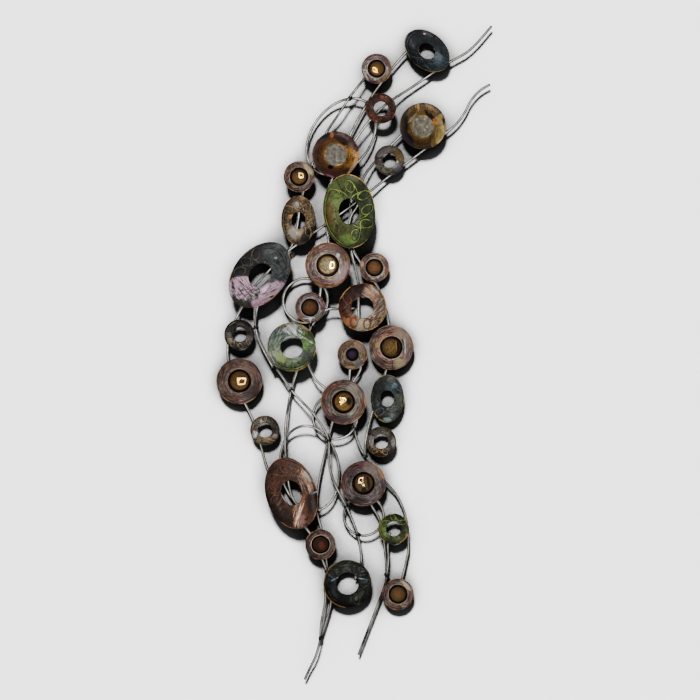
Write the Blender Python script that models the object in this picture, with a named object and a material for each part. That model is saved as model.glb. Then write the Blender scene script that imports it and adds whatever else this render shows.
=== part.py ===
"""A wall sculpture of bent steel wires with dished metal plates welded on their front.

Metres, +Z up. The wall is the plane y = 0, and the sculpture stands out from it towards -Y.
The origin is on the back of the upper hanger, where it lies on the wall.
"""

import math

import bpy
import numpy as np

MM = 0.001
TOUCH_GAP = 0.0003
SMOOTH_BELOW_DEGREES = 40

# Wires
WIRE_RADIUS = 0.0025
BACK_WIRE_DEPTH = 0.016
ROUTE_STEP = 0.004
STEP_OVER_LENGTH = 0.040
ROUTE_TOLERANCE = 0.0008
CURVE_SAMPLES = 24
LOOP_SPACING = 0.015
WIRE_SPACING = 2 * WIRE_RADIUS + 2 * ROUTE_TOLERANCE + TOUCH_GAP

# Plates
SHEET = 0.0015
DOME_SEAT_GAP = 0.0010
BEND_AT = 0.35
BEND_HEIGHT = 0.12
SMALLEST_BENT_RING = 0.04
RIM_SAMPLES = 60

# Hangers: a strap bent like a hat, with its pad on the wall and its feet behind a wire
STRAP = 0.0015
STRAP_WIDTH = 0.018
PAD_HALF = 0.016
FOOT_INNER = 0.021
FOOT_OUTER = 0.030
KEYHOLE_RADIUS = 0.004
KEYHOLE_SLOT_RADIUS = 0.002
KEYHOLE_ABOVE_MOUNT = 0.012
KEYHOLE_SLOT_LENGTH = 0.009
KEYHOLE_HEAD_POINTS = 13
KEYHOLE_SLOT_POINTS = 7
MOUNT_BELOW_PAD_CENTRE = 0.010

# The layout below is in millimetres, x to the right and z up. This is the place of the mount in it.
MOUNT_IN_LAYOUT = (-2.0, -16.0)
LOWER_HANGER_IN_LAYOUT = (8.5, -464.0)

STEEL = ((0.16, 0.16, 0.155), 0.38)

# kind: half width, half height, hole or dome half width and half height, rise of the rim, segments
PLATE_KINDS = {
    "small ring": (28.3, 28.3, 13.4, 13.4, 5.5, 18),
    "round ring": (44.8, 44.8, 20.6, 20.6, 9.0, 20),
    "small oval ring": (32.0, 46.0, 13.0, 15.5, 7.0, 20),
    "big oval ring": (48.2, 69.2, 19.0, 24.0, 11.0, 22),
    "small eye": (28.2, 28.2, 16.4, 16.4, 4.5, 16),
    "big eye": (42.1, 42.1, 20.8, 20.8, 7.0, 20),
    "bowl": (43.5, 43.5, 19.8, 19.8, 13.0, 20),
}

# name: kind, x, z, how far the top leans to the right in degrees, size factor, colour
PLATES = {
    "oval_ring_blue": ("small oval ring", 147, 188.5, -49, 1.04, (0.05, 0.08, 0.10)),
    "small_eye_top": ("small eye", 53, 155, 0, 1.0, (0.31, 0.24, 0.21)),
    "small_ring_copper": ("small ring", 61, 80, 0, 1.0, (0.23, 0.09, 0.06)),
    "bowl_right": ("bowl", 139, 48, 0, 1.0, (0.35, 0.25, 0.09)),
    "bowl_left": ("bowl", -23, -6, 0, 1.0, (0.25, 0.13, 0.06)),
    "small_ring_grey": ("small ring", 77, -15, 0, 1.0, (0.27, 0.24, 0.19)),
    "small_eye_upper_left": ("small eye", -91, -46, 0, 1.02, (0.33, 0.25, 0.22)),
    "oval_ring_green": ("big oval ring", 2, -111, -5, 1.0, (0.16, 0.19, 0.04)),
    "oval_ring_tan": ("small oval ring", -92, -127, 0, 1.0, (0.33, 0.25, 0.17)),
    "big_eye_upper": ("big eye", -37.5, -211, 0, 1.0, (0.36, 0.27, 0.25)),
    "small_eye_right": ("small eye", 49, -214.5, 0, 0.98, (0.32, 0.22, 0.19)),
    "oval_ring_charcoal": ("big oval ring", -163.5, -228.5, 40, 1.0, (0.13, 0.13, 0.14)),
    "small_eye_centre": ("small eye", -70.5, -289, 0, 1.0, (0.33, 0.25, 0.22)),
    "round_ring_copper": ("round ring", 27, -288.5, 0, 1.0, (0.36, 0.17, 0.10)),
    "small_ring_black": ("small ring", -202, -339, 0, 1.0, (0.09, 0.07, 0.05)),
    "round_ring_sage": ("round ring", -104.5, -362, 0, 1.015, (0.27, 0.30, 0.22)),
    "small_eye_middle": ("small eye", 8, -376, 0, 0.99, (0.35, 0.28, 0.24)),
    "big_eye_right": ("big eye", 80.5, -363, 0, 0.99, (0.32, 0.24, 0.20)),
    "big_eye_left": ("big eye", -202, -425.5, 0, 1.02, (0.29, 0.21, 0.18)),
    "big_eye_middle": ("big eye", -8.5, -464, 0, 1.0, (0.32, 0.25, 0.22)),
    "oval_ring_teal": ("small oval ring", 73, -458, 0, 0.975, (0.07, 0.10, 0.09)),
    "small_ring_olive": ("small ring", -154.5, -517, 0, 0.98, (0.25, 0.22, 0.14)),
    "small_ring_khaki": ("small ring", 61.5, -538, 0, 1.0, (0.26, 0.22, 0.14)),
    "oval_ring_bronze": ("big oval ring", -105, -633, -18, 0.985, (0.24, 0.12, 0.08)),
    "big_eye_lower": ("big eye", 28.5, -615.5, 0, 1.0, (0.27, 0.20, 0.17)),
    "small_ring_moss": ("small ring", 84.5, -700, 0, 1.02, (0.15, 0.21, 0.03)),
    "small_eye_lower": ("small eye", -51, -729, 0, 1.01, (0.24, 0.15, 0.12)),
    "round_ring_black": ("round ring", -1, -802, 0, 1.0, (0.04, 0.05, 0.04)),
    "small_eye_bottom": ("small eye", 93, -822, 0, 1.05, (0.35, 0.28, 0.24)),
}

DOME_SIZES = {"small_eye_middle": 0.66, "big_eye_middle": 1.07}
DOME_RISE = {"small eye": 0.0065, "big eye": 0.0085}
# (share of the radius, share of the rise), from the edge inwards
DOME_SHAPE = ((1.0, 0.0), (0.74, 0.72))
DOME_SEGMENTS = 14
DOME_COLOUR = ((0.24, 0.13, 0.03), 0.12)
PLATE_ROUGHNESS = 0.3

# Open wires, from the back layer to the front one
WIRES = {
    "stem_hairpin": [
        (19, -936), (41, -880), (59, -832), (71, -795), (71, -771), (67, -726), (59, -685),
        (43, -656), (33, -615), (35, -572), (24, -553), (13, -520), (13, -500), (7, -461),
        (11, -425), (20, -412), (24, -399), (13, -371), (4, -405), (2, -423), (-13, -464),
        (-28, -501), (-41, -553), (-56, -626), (-57, -674), (-50, -700), (-41, -758),
        (-32, -834), (-35, -854), (-43, -878), (-50, -903),
    ],
    "stem_right_side": [
        (124, 199), (108, 186), (80, 154), (58, 123), (33, 87), (19, 59), (4, 32), (-4, 4),
        (-4, -20), (0, -41), (7, -98), (4, -126), (9, -182), (22, -202), (50, -243), (59, -258),
        (69, -286), (76, -321), (78, -364), (71, -405), (59, -451), (45, -485), (37, -516),
        (32, -544), (33, -566), (45, -579), (69, -612), (87, -633), (100, -657), (108, -683),
        (112, -717), (112, -743), (106, -769), (101, -791), (95, -817),
    ],
    "stem_high_tip": [
        (268, 236), (260, 226), (245, 209), (227, 191), (208, 178), (189, 168), (163, 150),
        (115, 119), (71, 89), (41, 59), (11, 19), (-6, -6), (-19, -30), (-32, -58), (-43, -104),
        (-41, -136), (-36, -169), (-41, -212), (-50, -251), (-56, -297), (-71, -331),
        (-82, -368), (-106, -444), (-116, -507), (-117, -531), (-116, -566), (-111, -611),
        (-104, -640), (-84, -669),
    ],
    "stem_inner_curve": [
        (41, 149), (30, 136), (2, 100), (-15, 74), (-41, 35), (-66, -22), (-84, -78), (-91, -113),
        (-95, -141), (-104, -173), (-113, -184), (-145, -238), (-169, -290), (-170, -331),
        (-160, -358), (-145, -388), (-124, -416), (-106, -442), (-69, -481), (-48, -509),
        (-36, -535), (-36, -563), (-35, -581), (-30, -602), (-22, -622), (-6, -652), (7, -683),
        (17, -708), (22, -730), (24, -763), (13, -795),
    ],
    "stem_long_left": [
        (265, 127), (251, 119), (240, 110), (228, 95), (217, 74), (206, 58), (193, 45),
        (141, 4), (100, -26), (43, -71), (4, -102), (-43, -136), (-95, -173), (-111, -184),
        (-145, -219), (-175, -251), (-195, -286), (-210, -312), (-219, -336), (-224, -362),
        (-223, -386), (-212, -427), (-193, -466), (-178, -496), (-162, -546), (-149, -591),
        (-119, -646), (-80, -698), (-71, -709), (-48, -758), (-40, -780), (-43, -804),
        (-42, -832), (-50, -878), (-52, -906), (-59, -934), (-71, -960), (-81, -982),
    ],
    "stem_short_upper": [
        (119, 52), (97, 30), (82, 15), (48, -20), (28, -50), (20, -95), (6, -119), (2, -141),
        (6, -182), (11, -204), (19, -243), (20, -273), (20, -306), (22, -323),
    ],
    "stem_link": [
        (13, -290), (-19, -292), (-32, -291), (-43, -295), (-59, -312), (-71, -331), (-78, -358),
        (-78, -383), (-69, -407), (-58, -425), (-41, -438), (-22, -453),
    ],
    "stem_twin_left": [(-169, -256), (-173, -297), (-170, -336), (-160, -362), (-139, -401)],
    "stem_twin_right": [(78, -706), (74, -730), (75, -758), (72, -786)],
}

# Closed wire ovals, behind all but the two back wires: x, z, half width, half height, lean in degrees
LOOPS = {
    "loop_top": (-12.5, 29, 54.7, 79.1, 37),
    "loop_left": (-79, -276, 41.5, 41.5, 0),
    "loop_middle": (-24, -492, 41.5, 41.5, 0),
    "loop_lower": (-71.5, -587.5, 54.1, 79.5, -10),
    "loop_bottom": (29, -676, 37, 37, 0),
}
LAID_FIRST = ("stem_hairpin", "stem_right_side")


def clear_scene():
    for obj in list(bpy.data.objects):
        bpy.data.objects.remove(obj)


def from_layout(x, z):
    """A place in the layout, in metres from the mount."""
    return (x - MOUNT_IN_LAYOUT[0]) * MM, (z - MOUNT_IN_LAYOUT[1]) * MM


def make_material(name, colour, roughness):
    material = bpy.data.materials.new(name)
    material.use_nodes = True
    shader = material.node_tree.nodes["Principled BSDF"]
    shader.inputs["Base Color"].default_value = (*colour, 1.0)
    shader.inputs["Roughness"].default_value = roughness
    shader.inputs["Metallic"].default_value = 1.0
    return material


def smooth_route(points):
    """Even steps along a centripetal Catmull-Rom curve through the points."""
    ends = [2 * points[0] - points[1], *points, 2 * points[-1] - points[-2]]
    p = np.array(ends)
    knots = np.concatenate([[0], np.cumsum(np.sqrt(np.linalg.norm(np.diff(p, axis=0), axis=1)))])
    pieces = []
    for i in range(1, len(p) - 2):
        k0, k1, k2, k3 = knots[i - 1 : i + 3]
        u = np.linspace(k1, k2, CURVE_SAMPLES, endpoint=False)[:, None]
        a1 = (k1 - u) / (k1 - k0) * p[i - 1] + (u - k0) / (k1 - k0) * p[i]
        a2 = (k2 - u) / (k2 - k1) * p[i] + (u - k1) / (k2 - k1) * p[i + 1]
        a3 = (k3 - u) / (k3 - k2) * p[i + 1] + (u - k2) / (k3 - k2) * p[i + 2]
        b1 = (k2 - u) / (k2 - k0) * a1 + (u - k0) / (k2 - k0) * a2
        b2 = (k3 - u) / (k3 - k1) * a2 + (u - k1) / (k3 - k1) * a3
        pieces.append((k2 - u) / (k2 - k1) * b1 + (u - k1) / (k2 - k1) * b2)
    dense = np.vstack([*pieces, p[-2:-1]])
    along = np.concatenate([[0], np.cumsum(np.linalg.norm(np.diff(dense, axis=0), axis=1))])
    count = max(4, round(along[-1] / ROUTE_STEP))
    even = np.linspace(0, along[-1], count + 1)
    return np.stack([np.interp(even, along, dense[:, axis]) for axis in (0, 1)], axis=1)


def oval(x, z, half_width, half_height, lean, angles):
    """Points of an oval whose long axis leans by lean degrees to the right."""
    turn = math.radians(lean)
    across = half_width * np.cos(angles)
    up = half_height * np.sin(angles)
    return np.stack(
        [
            x + across * math.cos(turn) + up * math.sin(turn),
            z - across * math.sin(turn) + up * math.cos(turn),
        ],
        axis=1,
    )


def loop_route(x, z, half_width, half_height, lean):
    x, z = from_layout(x, z)
    around = math.pi * (half_width + half_height) * MM
    angles = np.linspace(0, 2 * math.pi, round(around / ROUTE_STEP), endpoint=False)
    return oval(x, z, half_width * MM, half_height * MM, lean, angles)


def widest(values, reach, closed):
    """The highest value within reach places to either side."""
    mode = "wrap" if closed else "edge"
    padded = np.pad(values, reach, mode=mode)
    return np.lib.stride_tricks.sliding_window_view(padded, 2 * reach + 1).max(axis=1)


def averaged(values, reach, closed):
    """The values smoothed with a raised-cosine window that reaches reach places to either side."""
    window = 1 + np.cos(np.linspace(-math.pi, math.pi, 2 * reach + 1))
    mode = "wrap" if closed else "edge"
    return np.convolve(np.pad(values, reach, mode=mode), window / window.sum(), mode="valid")


def lay_wires():
    """Each wire's route as (x, z, depth), laid one over another: a wire runs straight at the back
    depth, and eases forward by one wire wherever it crosses one that is there already."""
    routes = {}
    order = list(LAID_FIRST) + list(LOOPS) + [name for name in WIRES if name not in LAID_FIRST]
    for name in order:
        closed = name in LOOPS
        if closed:
            flat = loop_route(*LOOPS[name])
        else:
            flat = smooth_route([np.array(from_layout(*point)) for point in WIRES[name]])
        depth = np.full(len(flat), BACK_WIRE_DEPTH)
        for other in routes.values():
            apart = np.linalg.norm(flat[:, None] - other[None, :, :2], axis=2)
            near = apart < WIRE_SPACING + ROUTE_STEP
            over = np.where(near, other[None, :, 2] + WIRE_SPACING, 0).max(axis=1)
            depth = np.maximum(depth, over)
        reach = round(STEP_OVER_LENGTH / ROUTE_STEP)
        depth = averaged(widest(depth, reach, closed), reach, closed)
        routes[name] = np.column_stack([flat, depth])
    return routes


def thinned(points):
    """The fewest of the points that keep the route within ROUTE_TOLERANCE."""
    if len(points) < 3:
        return points
    run = points[-1] - points[0]
    length = np.linalg.norm(run)
    offset = points - points[0]
    if length > 0:
        direction = run / length
        offset = offset - np.outer(offset @ direction, direction)
    far = np.linalg.norm(offset, axis=1)
    split = int(far.argmax())
    if far[split] <= ROUTE_TOLERANCE:
        return points[[0, -1]]
    return np.vstack([thinned(points[: split + 1])[:-1], thinned(points[split:])])


def make_wire(name, route, closed, material):
    curve = bpy.data.curves.new(name, "CURVE")
    curve.dimensions = "3D"
    curve.bevel_depth = WIRE_RADIUS
    curve.bevel_resolution = 1
    curve.use_fill_caps = True
    if closed:
        count = round(len(route) * ROUTE_STEP / LOOP_SPACING)
        kept = route[np.round(np.linspace(0, len(route), count, endpoint=False)).astype(int)]
    else:
        kept = thinned(route)
    spline = curve.splines.new("POLY")
    spline.use_cyclic_u = closed
    spline.use_smooth = True
    spline.points.add(len(kept) - 1)
    for point, (x, z, depth) in zip(spline.points, kept):
        point.co = (x, -depth, z, 1.0)
    curve.materials.append(material)
    wire = bpy.data.objects.new(name, curve)
    bpy.context.collection.objects.link(wire)


def plate_sizes(kind, size):
    half_width, half_height, inner_width, inner_height, rise, segments = PLATE_KINDS[kind]
    outer = np.array([half_width, half_height]) * size * MM
    inner = np.array([inner_width, inner_height]) * size * MM
    return outer, inner, rise * size * MM, segments


def rim_rise(along, rise):
    """Height of the sheet above its inner edge, at a place from 0 at that edge to 1 at the rim."""
    bend = rise * BEND_HEIGHT
    return np.where(
        along < BEND_AT,
        bend * along / BEND_AT,
        bend + (rise - bend) * (along - BEND_AT) / (1 - BEND_AT),
    )


def seat_depth(x, z, lean, outer, inner, rise, obstacles):
    """Depth of the plate's back where it rests on the foremost thing behind it.

    The obstacles are rows of (x, z, depth of its front).
    """
    turn = math.radians(lean)
    east = obstacles[:, 0] - x
    north = obstacles[:, 1] - z
    across = east * math.cos(turn) - north * math.sin(turn)
    up = east * math.sin(turn) + north * math.cos(turn)
    outward = np.hypot(across / outer[0], up / outer[1])
    inward = np.hypot(across / inner[0], up / inner[1])
    ratio = np.divide(inward, outward, out=np.ones_like(inward), where=outward > 0)
    margin = 2 * WIRE_RADIUS / min(outer)
    along = np.clip((inward - 1) / np.maximum(ratio - 1, 0.2) - margin, 0, 1)
    needed = obstacles[:, 2] + ROUTE_TOLERANCE + TOUCH_GAP - rim_rise(along, rise)
    return needed[outward < 1 + margin].max()


def plate_section(rise, with_bend):
    """The sheet's cut edge as (place from inner edge to rim, height), from the back round to the front."""
    places = [0.0, BEND_AT, 1.0] if with_bend else [0.0, 1.0]
    back = [(place, float(rim_rise(np.array(place), rise))) for place in places]
    front = [(place, height + SHEET) for place, height in reversed(back)]
    return back + front


def make_plate(name, x, z, lean, outer, inner, rise, segments, seat, open_middle, material):
    with_bend = open_middle and outer[0] > SMALLEST_BENT_RING
    section = plate_section(rise, with_bend)
    angles = np.linspace(0, 2 * math.pi, segments, endpoint=False)
    points = []
    for place, height in section:
        half = inner + (outer - inner) * place
        ring = oval(x, z, half[0], half[1], lean, angles)
        points += [(px, -(seat + height), pz) for px, pz in ring]
    rings = len(section)
    strips = rings if open_middle else rings - 1
    faces = []
    for ring in range(strips):
        after = (ring + 1) % rings
        for k in range(segments):
            n = (k + 1) % segments
            faces.append(
                (ring * segments + k, ring * segments + n, after * segments + n, after * segments + k)
            )
    if not open_middle:
        points += [(x, -seat, z), (x, -(seat + SHEET), z)]
        back_centre = len(points) - 2
        front_centre = len(points) - 1
        last = (rings - 1) * segments
        for k in range(segments):
            n = (k + 1) % segments
            faces.append((back_centre, n, k))
            faces.append((front_centre, last + k, last + n))
    add_mesh(name, points, faces, material)


def add_mesh(name, points, faces, material):
    mesh = bpy.data.meshes.new(name)
    mesh.from_pydata(points, [], faces)
    mesh.validate()
    mesh.materials.append(material)
    mesh.shade_smooth()
    mesh.set_sharp_from_angle(angle=math.radians(SMOOTH_BELOW_DEGREES))
    obj = bpy.data.objects.new(name, mesh)
    bpy.context.collection.objects.link(obj)
    return obj


def make_dome(name, x, z, radius, rise, seat, material):
    """A low cap, round above and flat below, that sits in the middle of an eye plate."""
    segments = DOME_SEGMENTS
    angles = np.linspace(0, 2 * math.pi, segments, endpoint=False)
    points = []
    for share, lift in DOME_SHAPE:
        ring = oval(x, z, radius * share, radius * share, 0, angles)
        points += [(px, -(seat + rise * lift), pz) for px, pz in ring]
    points += [(x, -seat, z), (x, -(seat + rise), z)]
    base_centre = len(DOME_SHAPE) * segments
    last = base_centre - segments
    faces = []
    for k in range(segments):
        n = (k + 1) % segments
        faces.append((base_centre, n, k))
        for low in range(0, last, segments):
            faces.append((low + k, low + n, low + segments + n, low + segments + k))
        faces.append((last + k, last + n, base_centre + 1))
    add_mesh(name, points, faces, material)


def make_plates(routes):
    """The plates in their order, each resting on the wires and on any plate that it laps over."""
    dome_material = make_material("dome", *DOME_COLOUR)
    obstacles = np.vstack(list(routes.values())) + (0, 0, WIRE_RADIUS)
    rim_angles = np.linspace(0, 2 * math.pi, RIM_SAMPLES, endpoint=False)
    for name, (kind, layout_x, layout_z, lean, size, colour) in PLATES.items():
        x, z = from_layout(layout_x, layout_z)
        outer, inner, rise, segments = plate_sizes(kind, size)
        seat = seat_depth(x, z, lean, outer, inner, rise, obstacles)
        rim = oval(x, z, outer[0], outer[1], lean, rim_angles)
        rim_front = np.full((len(rim), 1), seat + rise + SHEET)
        obstacles = np.vstack([obstacles, np.hstack([rim, rim_front])])
        material = make_material(name, colour, PLATE_ROUGHNESS)
        open_middle = "ring" in kind
        make_plate(name, x, z, lean, outer, inner, rise, segments, seat, open_middle, material)
        if kind in DOME_RISE:
            radius = inner[0] * DOME_SIZES.get(name, 1.0)
            radius = min(radius, inner[0] - DOME_SEAT_GAP)
            dome_seat = seat + SHEET + TOUCH_GAP
            make_dome(name + "_dome", x, z, radius, DOME_RISE[kind], dome_seat, dome_material)


def strap_outline(front):
    """The hat shape of a hanger in (height along the strap, depth), as its back line then its front line."""
    foot_back = front - STRAP
    back = [
        (-FOOT_OUTER, foot_back), (-FOOT_INNER, foot_back), (-PAD_HALF, 0.0),
        (PAD_HALF, 0.0), (FOOT_INNER, foot_back), (FOOT_OUTER, foot_back),
    ]
    return back, [(height, depth + STRAP) for height, depth in back]


def make_hanger(name, x, pad_z, material):
    """A hat-shaped strap, its pad flat on the wall with a keyhole, its feet against the back wire."""
    front = BACK_WIRE_DEPTH - WIRE_RADIUS - ROUTE_TOLERANCE - TOUCH_GAP
    back_line, front_line = strap_outline(front)
    outline = back_line + front_line[::-1]
    count = len(outline)
    points = []
    for side in (-STRAP_WIDTH / 2, STRAP_WIDTH / 2):
        points += [(x + side, -depth, pad_z + height) for height, depth in outline]
    half = count // 2
    faces = []
    for k in range(count):
        n = (k + 1) % count
        faces.append((k, n, count + n, count + k))
    for k in range(half - 1):
        faces.append((k, count - 1 - k, count - 2 - k, k + 1))
        faces.append((count + k, count + k + 1, 2 * count - 2 - k, 2 * count - 1 - k))
    hanger = add_mesh(name, points, faces, material)
    cut_keyhole(hanger, x, pad_z)


def keyhole_outline():
    """A round hole for the screw head with a narrow round-ended slot above it."""
    join = math.asin(KEYHOLE_SLOT_RADIUS / KEYHOLE_RADIUS)
    head = np.linspace(math.pi / 2 + join, 5 * math.pi / 2 - join, KEYHOLE_HEAD_POINTS)
    outline = [(KEYHOLE_RADIUS * math.cos(a), KEYHOLE_RADIUS * math.sin(a)) for a in head]
    for a in np.linspace(0, math.pi, KEYHOLE_SLOT_POINTS):
        across = KEYHOLE_SLOT_RADIUS * math.cos(a)
        outline.append((across, KEYHOLE_SLOT_LENGTH + KEYHOLE_SLOT_RADIUS * math.sin(a)))
    return outline


def cut_keyhole(hanger, x, pad_z):
    low_z = pad_z - MOUNT_BELOW_PAD_CENTRE + KEYHOLE_ABOVE_MOUNT
    outline = keyhole_outline()
    count = len(outline)
    points = []
    for y in (STRAP, -2 * STRAP):
        points += [(x + across, y, low_z + up) for across, up in outline]
    faces = [tuple(range(count - 1, -1, -1)), tuple(range(count, 2 * count))]
    for k in range(count):
        n = (k + 1) % count
        faces.append((k, n, count + n, count + k))
    mesh = bpy.data.meshes.new(hanger.name + "_keyhole")
    mesh.from_pydata(points, [], faces)
    cutter = bpy.data.objects.new(hanger.name + "_keyhole", mesh)
    bpy.context.collection.objects.link(cutter)
    cutter.hide_render = True
    cutter.display_type = "WIRE"
    cut = hanger.modifiers.new("keyhole", "BOOLEAN")
    cut.operation = "DIFFERENCE"
    cut.solver = "EXACT"
    cut.object = cutter


def make_hangers():
    material = make_material("hanger", *STEEL)
    make_hanger("hanger_upper", 0.0, MOUNT_BELOW_PAD_CENTRE, material)
    x, z = from_layout(*LOWER_HANGER_IN_LAYOUT)
    make_hanger("hanger_lower", x, z, material)


def main():
    clear_scene()
    steel = make_material("wire", *STEEL)
    routes = lay_wires()
    for name, route in routes.items():
        make_wire(name, route, name in LOOPS, steel)
    make_plates(routes)
    make_hangers()


main()
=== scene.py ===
# %% [markdown]
# # A wall sculpture of bent wires and patinated plates
# The real object is a bundle of long steel wires, bent into a flowing S, with closed wire loops woven
# through it and dished metal plates welded on its front. It hangs on a wall from two small straps.
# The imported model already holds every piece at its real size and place. This lesson makes the fine
# surfaces that go with it: round wires, weld beads, spun and embossed plates, and their finishes.

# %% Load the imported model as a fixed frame
import math

import bpy
import numpy as np
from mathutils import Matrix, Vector


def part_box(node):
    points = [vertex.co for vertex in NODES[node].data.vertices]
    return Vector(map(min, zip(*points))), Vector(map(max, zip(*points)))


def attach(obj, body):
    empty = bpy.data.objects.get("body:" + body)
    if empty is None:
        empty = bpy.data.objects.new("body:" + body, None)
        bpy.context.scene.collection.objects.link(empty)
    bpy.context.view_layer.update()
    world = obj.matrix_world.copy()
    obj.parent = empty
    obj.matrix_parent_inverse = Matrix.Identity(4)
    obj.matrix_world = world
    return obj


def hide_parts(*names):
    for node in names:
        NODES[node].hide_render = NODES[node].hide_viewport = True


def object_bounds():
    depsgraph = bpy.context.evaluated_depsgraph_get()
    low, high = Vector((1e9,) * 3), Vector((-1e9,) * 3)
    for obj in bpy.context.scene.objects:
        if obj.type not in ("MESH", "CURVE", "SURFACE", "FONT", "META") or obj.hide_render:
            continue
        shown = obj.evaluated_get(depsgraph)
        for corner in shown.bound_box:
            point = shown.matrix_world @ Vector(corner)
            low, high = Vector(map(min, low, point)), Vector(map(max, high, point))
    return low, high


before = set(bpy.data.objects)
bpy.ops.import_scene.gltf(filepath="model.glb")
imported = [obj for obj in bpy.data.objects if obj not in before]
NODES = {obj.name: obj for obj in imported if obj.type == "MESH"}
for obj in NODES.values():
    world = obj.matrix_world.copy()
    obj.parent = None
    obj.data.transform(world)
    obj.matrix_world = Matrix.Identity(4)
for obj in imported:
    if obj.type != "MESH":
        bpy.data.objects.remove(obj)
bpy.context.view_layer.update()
WIRE_NAMES = sorted(name for name in NODES if name.startswith(("stem_", "loop_")))
HANGER_NAMES = sorted(name for name in NODES if name.startswith("hanger_"))
DOME_NAMES = sorted(name for name in NODES if name.endswith("_dome"))
EYE_NAMES = sorted(name[: -len("_dome")] for name in DOME_NAMES)
BOWL_NAMES = sorted(name for name in NODES if name.startswith("bowl_"))
RING_NAMES = sorted(set(NODES) - {*WIRE_NAMES, *HANGER_NAMES, *DOME_NAMES, *EYE_NAMES, *BOWL_NAMES})
print(len(WIRE_NAMES), "wires,", len(RING_NAMES), "ring plates,", len(EYE_NAMES), "eye plates")

# %% [markdown]
# ## Surfaces from grids
# Every new piece here is a grid of points, worked out with numpy as one array: rows run along a piece and
# columns run round it. One helper weaves any such grid into faces, closes its ends, and turns it right
# side out by the sign of its volume. That's quicker than modelling by hand, and each shape stays a formula.

# %% Weave a grid of points into faces
MM = 0.001


def woven(grid, wrap_rows=False, poles=None):
    """Points, four-sided faces and end fans of a closed surface.

    Each face joins a point to its neighbours in the next row and the next column, and the last column
    joins the first. The last row joins the first too, or each end closes in a fan on a pole point.
    """
    rows, columns = grid.shape[:2]
    index = np.arange(rows * columns).reshape(rows, columns)
    near = index if wrap_rows else index[:-1]
    far = np.roll(index, -1, axis=0) if wrap_rows else index[1:]
    quads = np.stack([near, far, np.roll(far, -1, axis=1), np.roll(near, -1, axis=1)], axis=-1)
    quads = quads.reshape(-1, 4)
    points = grid.reshape(-1, 3)
    fans = np.zeros((0, 3), int)
    if poles is not None:
        first, last = index[0], index[-1]
        start = np.full(columns, rows * columns)
        fans = np.concatenate(
            [
                np.stack([start, first, np.roll(first, -1)], axis=1),
                np.stack([start + 1, np.roll(last, -1), last], axis=1),
            ]
        )
        points = np.vstack([points, poles])
    triangles = np.concatenate([quads[:, :3], quads[:, [0, 2, 3]], fans])
    a, b, c = (points[triangles[:, k]] for k in range(3))
    if np.einsum("ij,ij->", a - points[0], np.cross(b - points[0], c - points[0])) < 0:
        quads, fans = quads[:, ::-1], fans[:, ::-1]
    return points, quads, fans


def put_in(name, parts, marks=None):
    """One object from woven parts, at the origin, with a number per point for each of the marks."""
    points = np.concatenate([part[0] for part in parts])
    before = np.cumsum([0] + [len(part[0]) for part in parts])
    quads = np.concatenate([part[1] + start for part, start in zip(parts, before)])
    fans = np.concatenate([part[2] + start for part, start in zip(parts, before)])
    corners = np.concatenate([quads.ravel(), fans.ravel()])
    starts = np.concatenate([np.arange(len(quads)) * 4, len(quads) * 4 + np.arange(len(fans)) * 3])
    mesh = bpy.data.meshes.new(name)
    mesh.vertices.add(len(points))
    mesh.vertices.foreach_set("co", points.ravel())
    mesh.loops.add(len(corners))
    mesh.loops.foreach_set("vertex_index", corners.astype(np.int32))
    mesh.polygons.add(len(starts))
    mesh.polygons.foreach_set("loop_start", starts.astype(np.int32))
    mesh.polygons.foreach_set("use_smooth", np.ones(len(starts), bool))
    mesh.update(calc_edges=True)
    for mark, values in (marks or {}).items():
        layer = mesh.attributes.new(mark, "FLOAT", "POINT")
        layer.data.foreach_set("value", np.asarray(values, np.float32).ravel())
    piece = bpy.data.objects.new(name, mesh)
    bpy.context.scene.collection.objects.link(piece)
    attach(piece, "root")
    return piece


def stand_in(name, ending, parts, marks, slot):
    """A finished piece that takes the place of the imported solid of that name."""
    piece = put_in(name + ending, parts, marks)
    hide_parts(name)
    return piece


def triangle_count(pieces):
    """Triangles in all, where a face with n corners counts as n - 2."""
    return sum(len(face.vertices) - 2 for piece in pieces for face in piece.data.polygons)


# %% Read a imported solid, go round a circle, and wobble
SNAP_PLACES = 5


def solid_corners(name):
    """The solid's corners, each once to SNAP_PLACES decimals of a metre, and for every point of its
    mesh the index of its corner."""
    mesh = NODES[name].data
    points = np.empty(len(mesh.vertices) * 3, np.float32)
    mesh.vertices.foreach_get("co", points)
    points = np.round(points.reshape(-1, 3).astype(float), SNAP_PLACES)
    return np.unique(points, axis=0, return_inverse=True)


def full_turn(count):
    """Evenly spaced angles round a circle, without a second one at the start."""
    return np.linspace(0, 2 * math.pi, count, endpoint=False)


def wobble(angles, seed, lowest, highest, size):
    """A smooth closed ripple: the sum of a few cosine waves round the circle, each with a random phase
    and a height that falls with its number of waves."""
    random = np.random.default_rng(seed)
    total = np.zeros_like(angles)
    for waves in range(lowest, highest + 1):
        total = total + np.cos(waves * angles + random.uniform(0, 2 * math.pi)) / waves
    return size * total / sum(1 / waves for waves in range(lowest, highest + 1))


print(BOWL_NAMES[0], "is packed with", len(solid_corners(BOWL_NAMES[0])[0]), "corners")


# %% [markdown]
# ## Wires
# The wires are round steel rod about 5 mm thick, bent by hand, with the ends cut and rounded off. The
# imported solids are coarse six-sided tubes, so each one is read back as a line of ring centres. A curve
# through those centres carries a round profile. A bevelled curve object could do this too, but a swept
# grid gives the exact tip shape and a mark for every point, such as how near it is to a weld.

# %% Read each wire's middle line from its solid
SIDE_OF_TUBE = 2.9 * MM
TUBE_SIDES = 6
WIRE_RADIUS = 2.5 * MM
CURVE_STEP = 2.5 * MM
STEPS_PER_SPAN = 16
TIP_ROWS = np.array([0.08, 0.3, 0.65])  # rows that round off a free end, in radii from its tip


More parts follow.
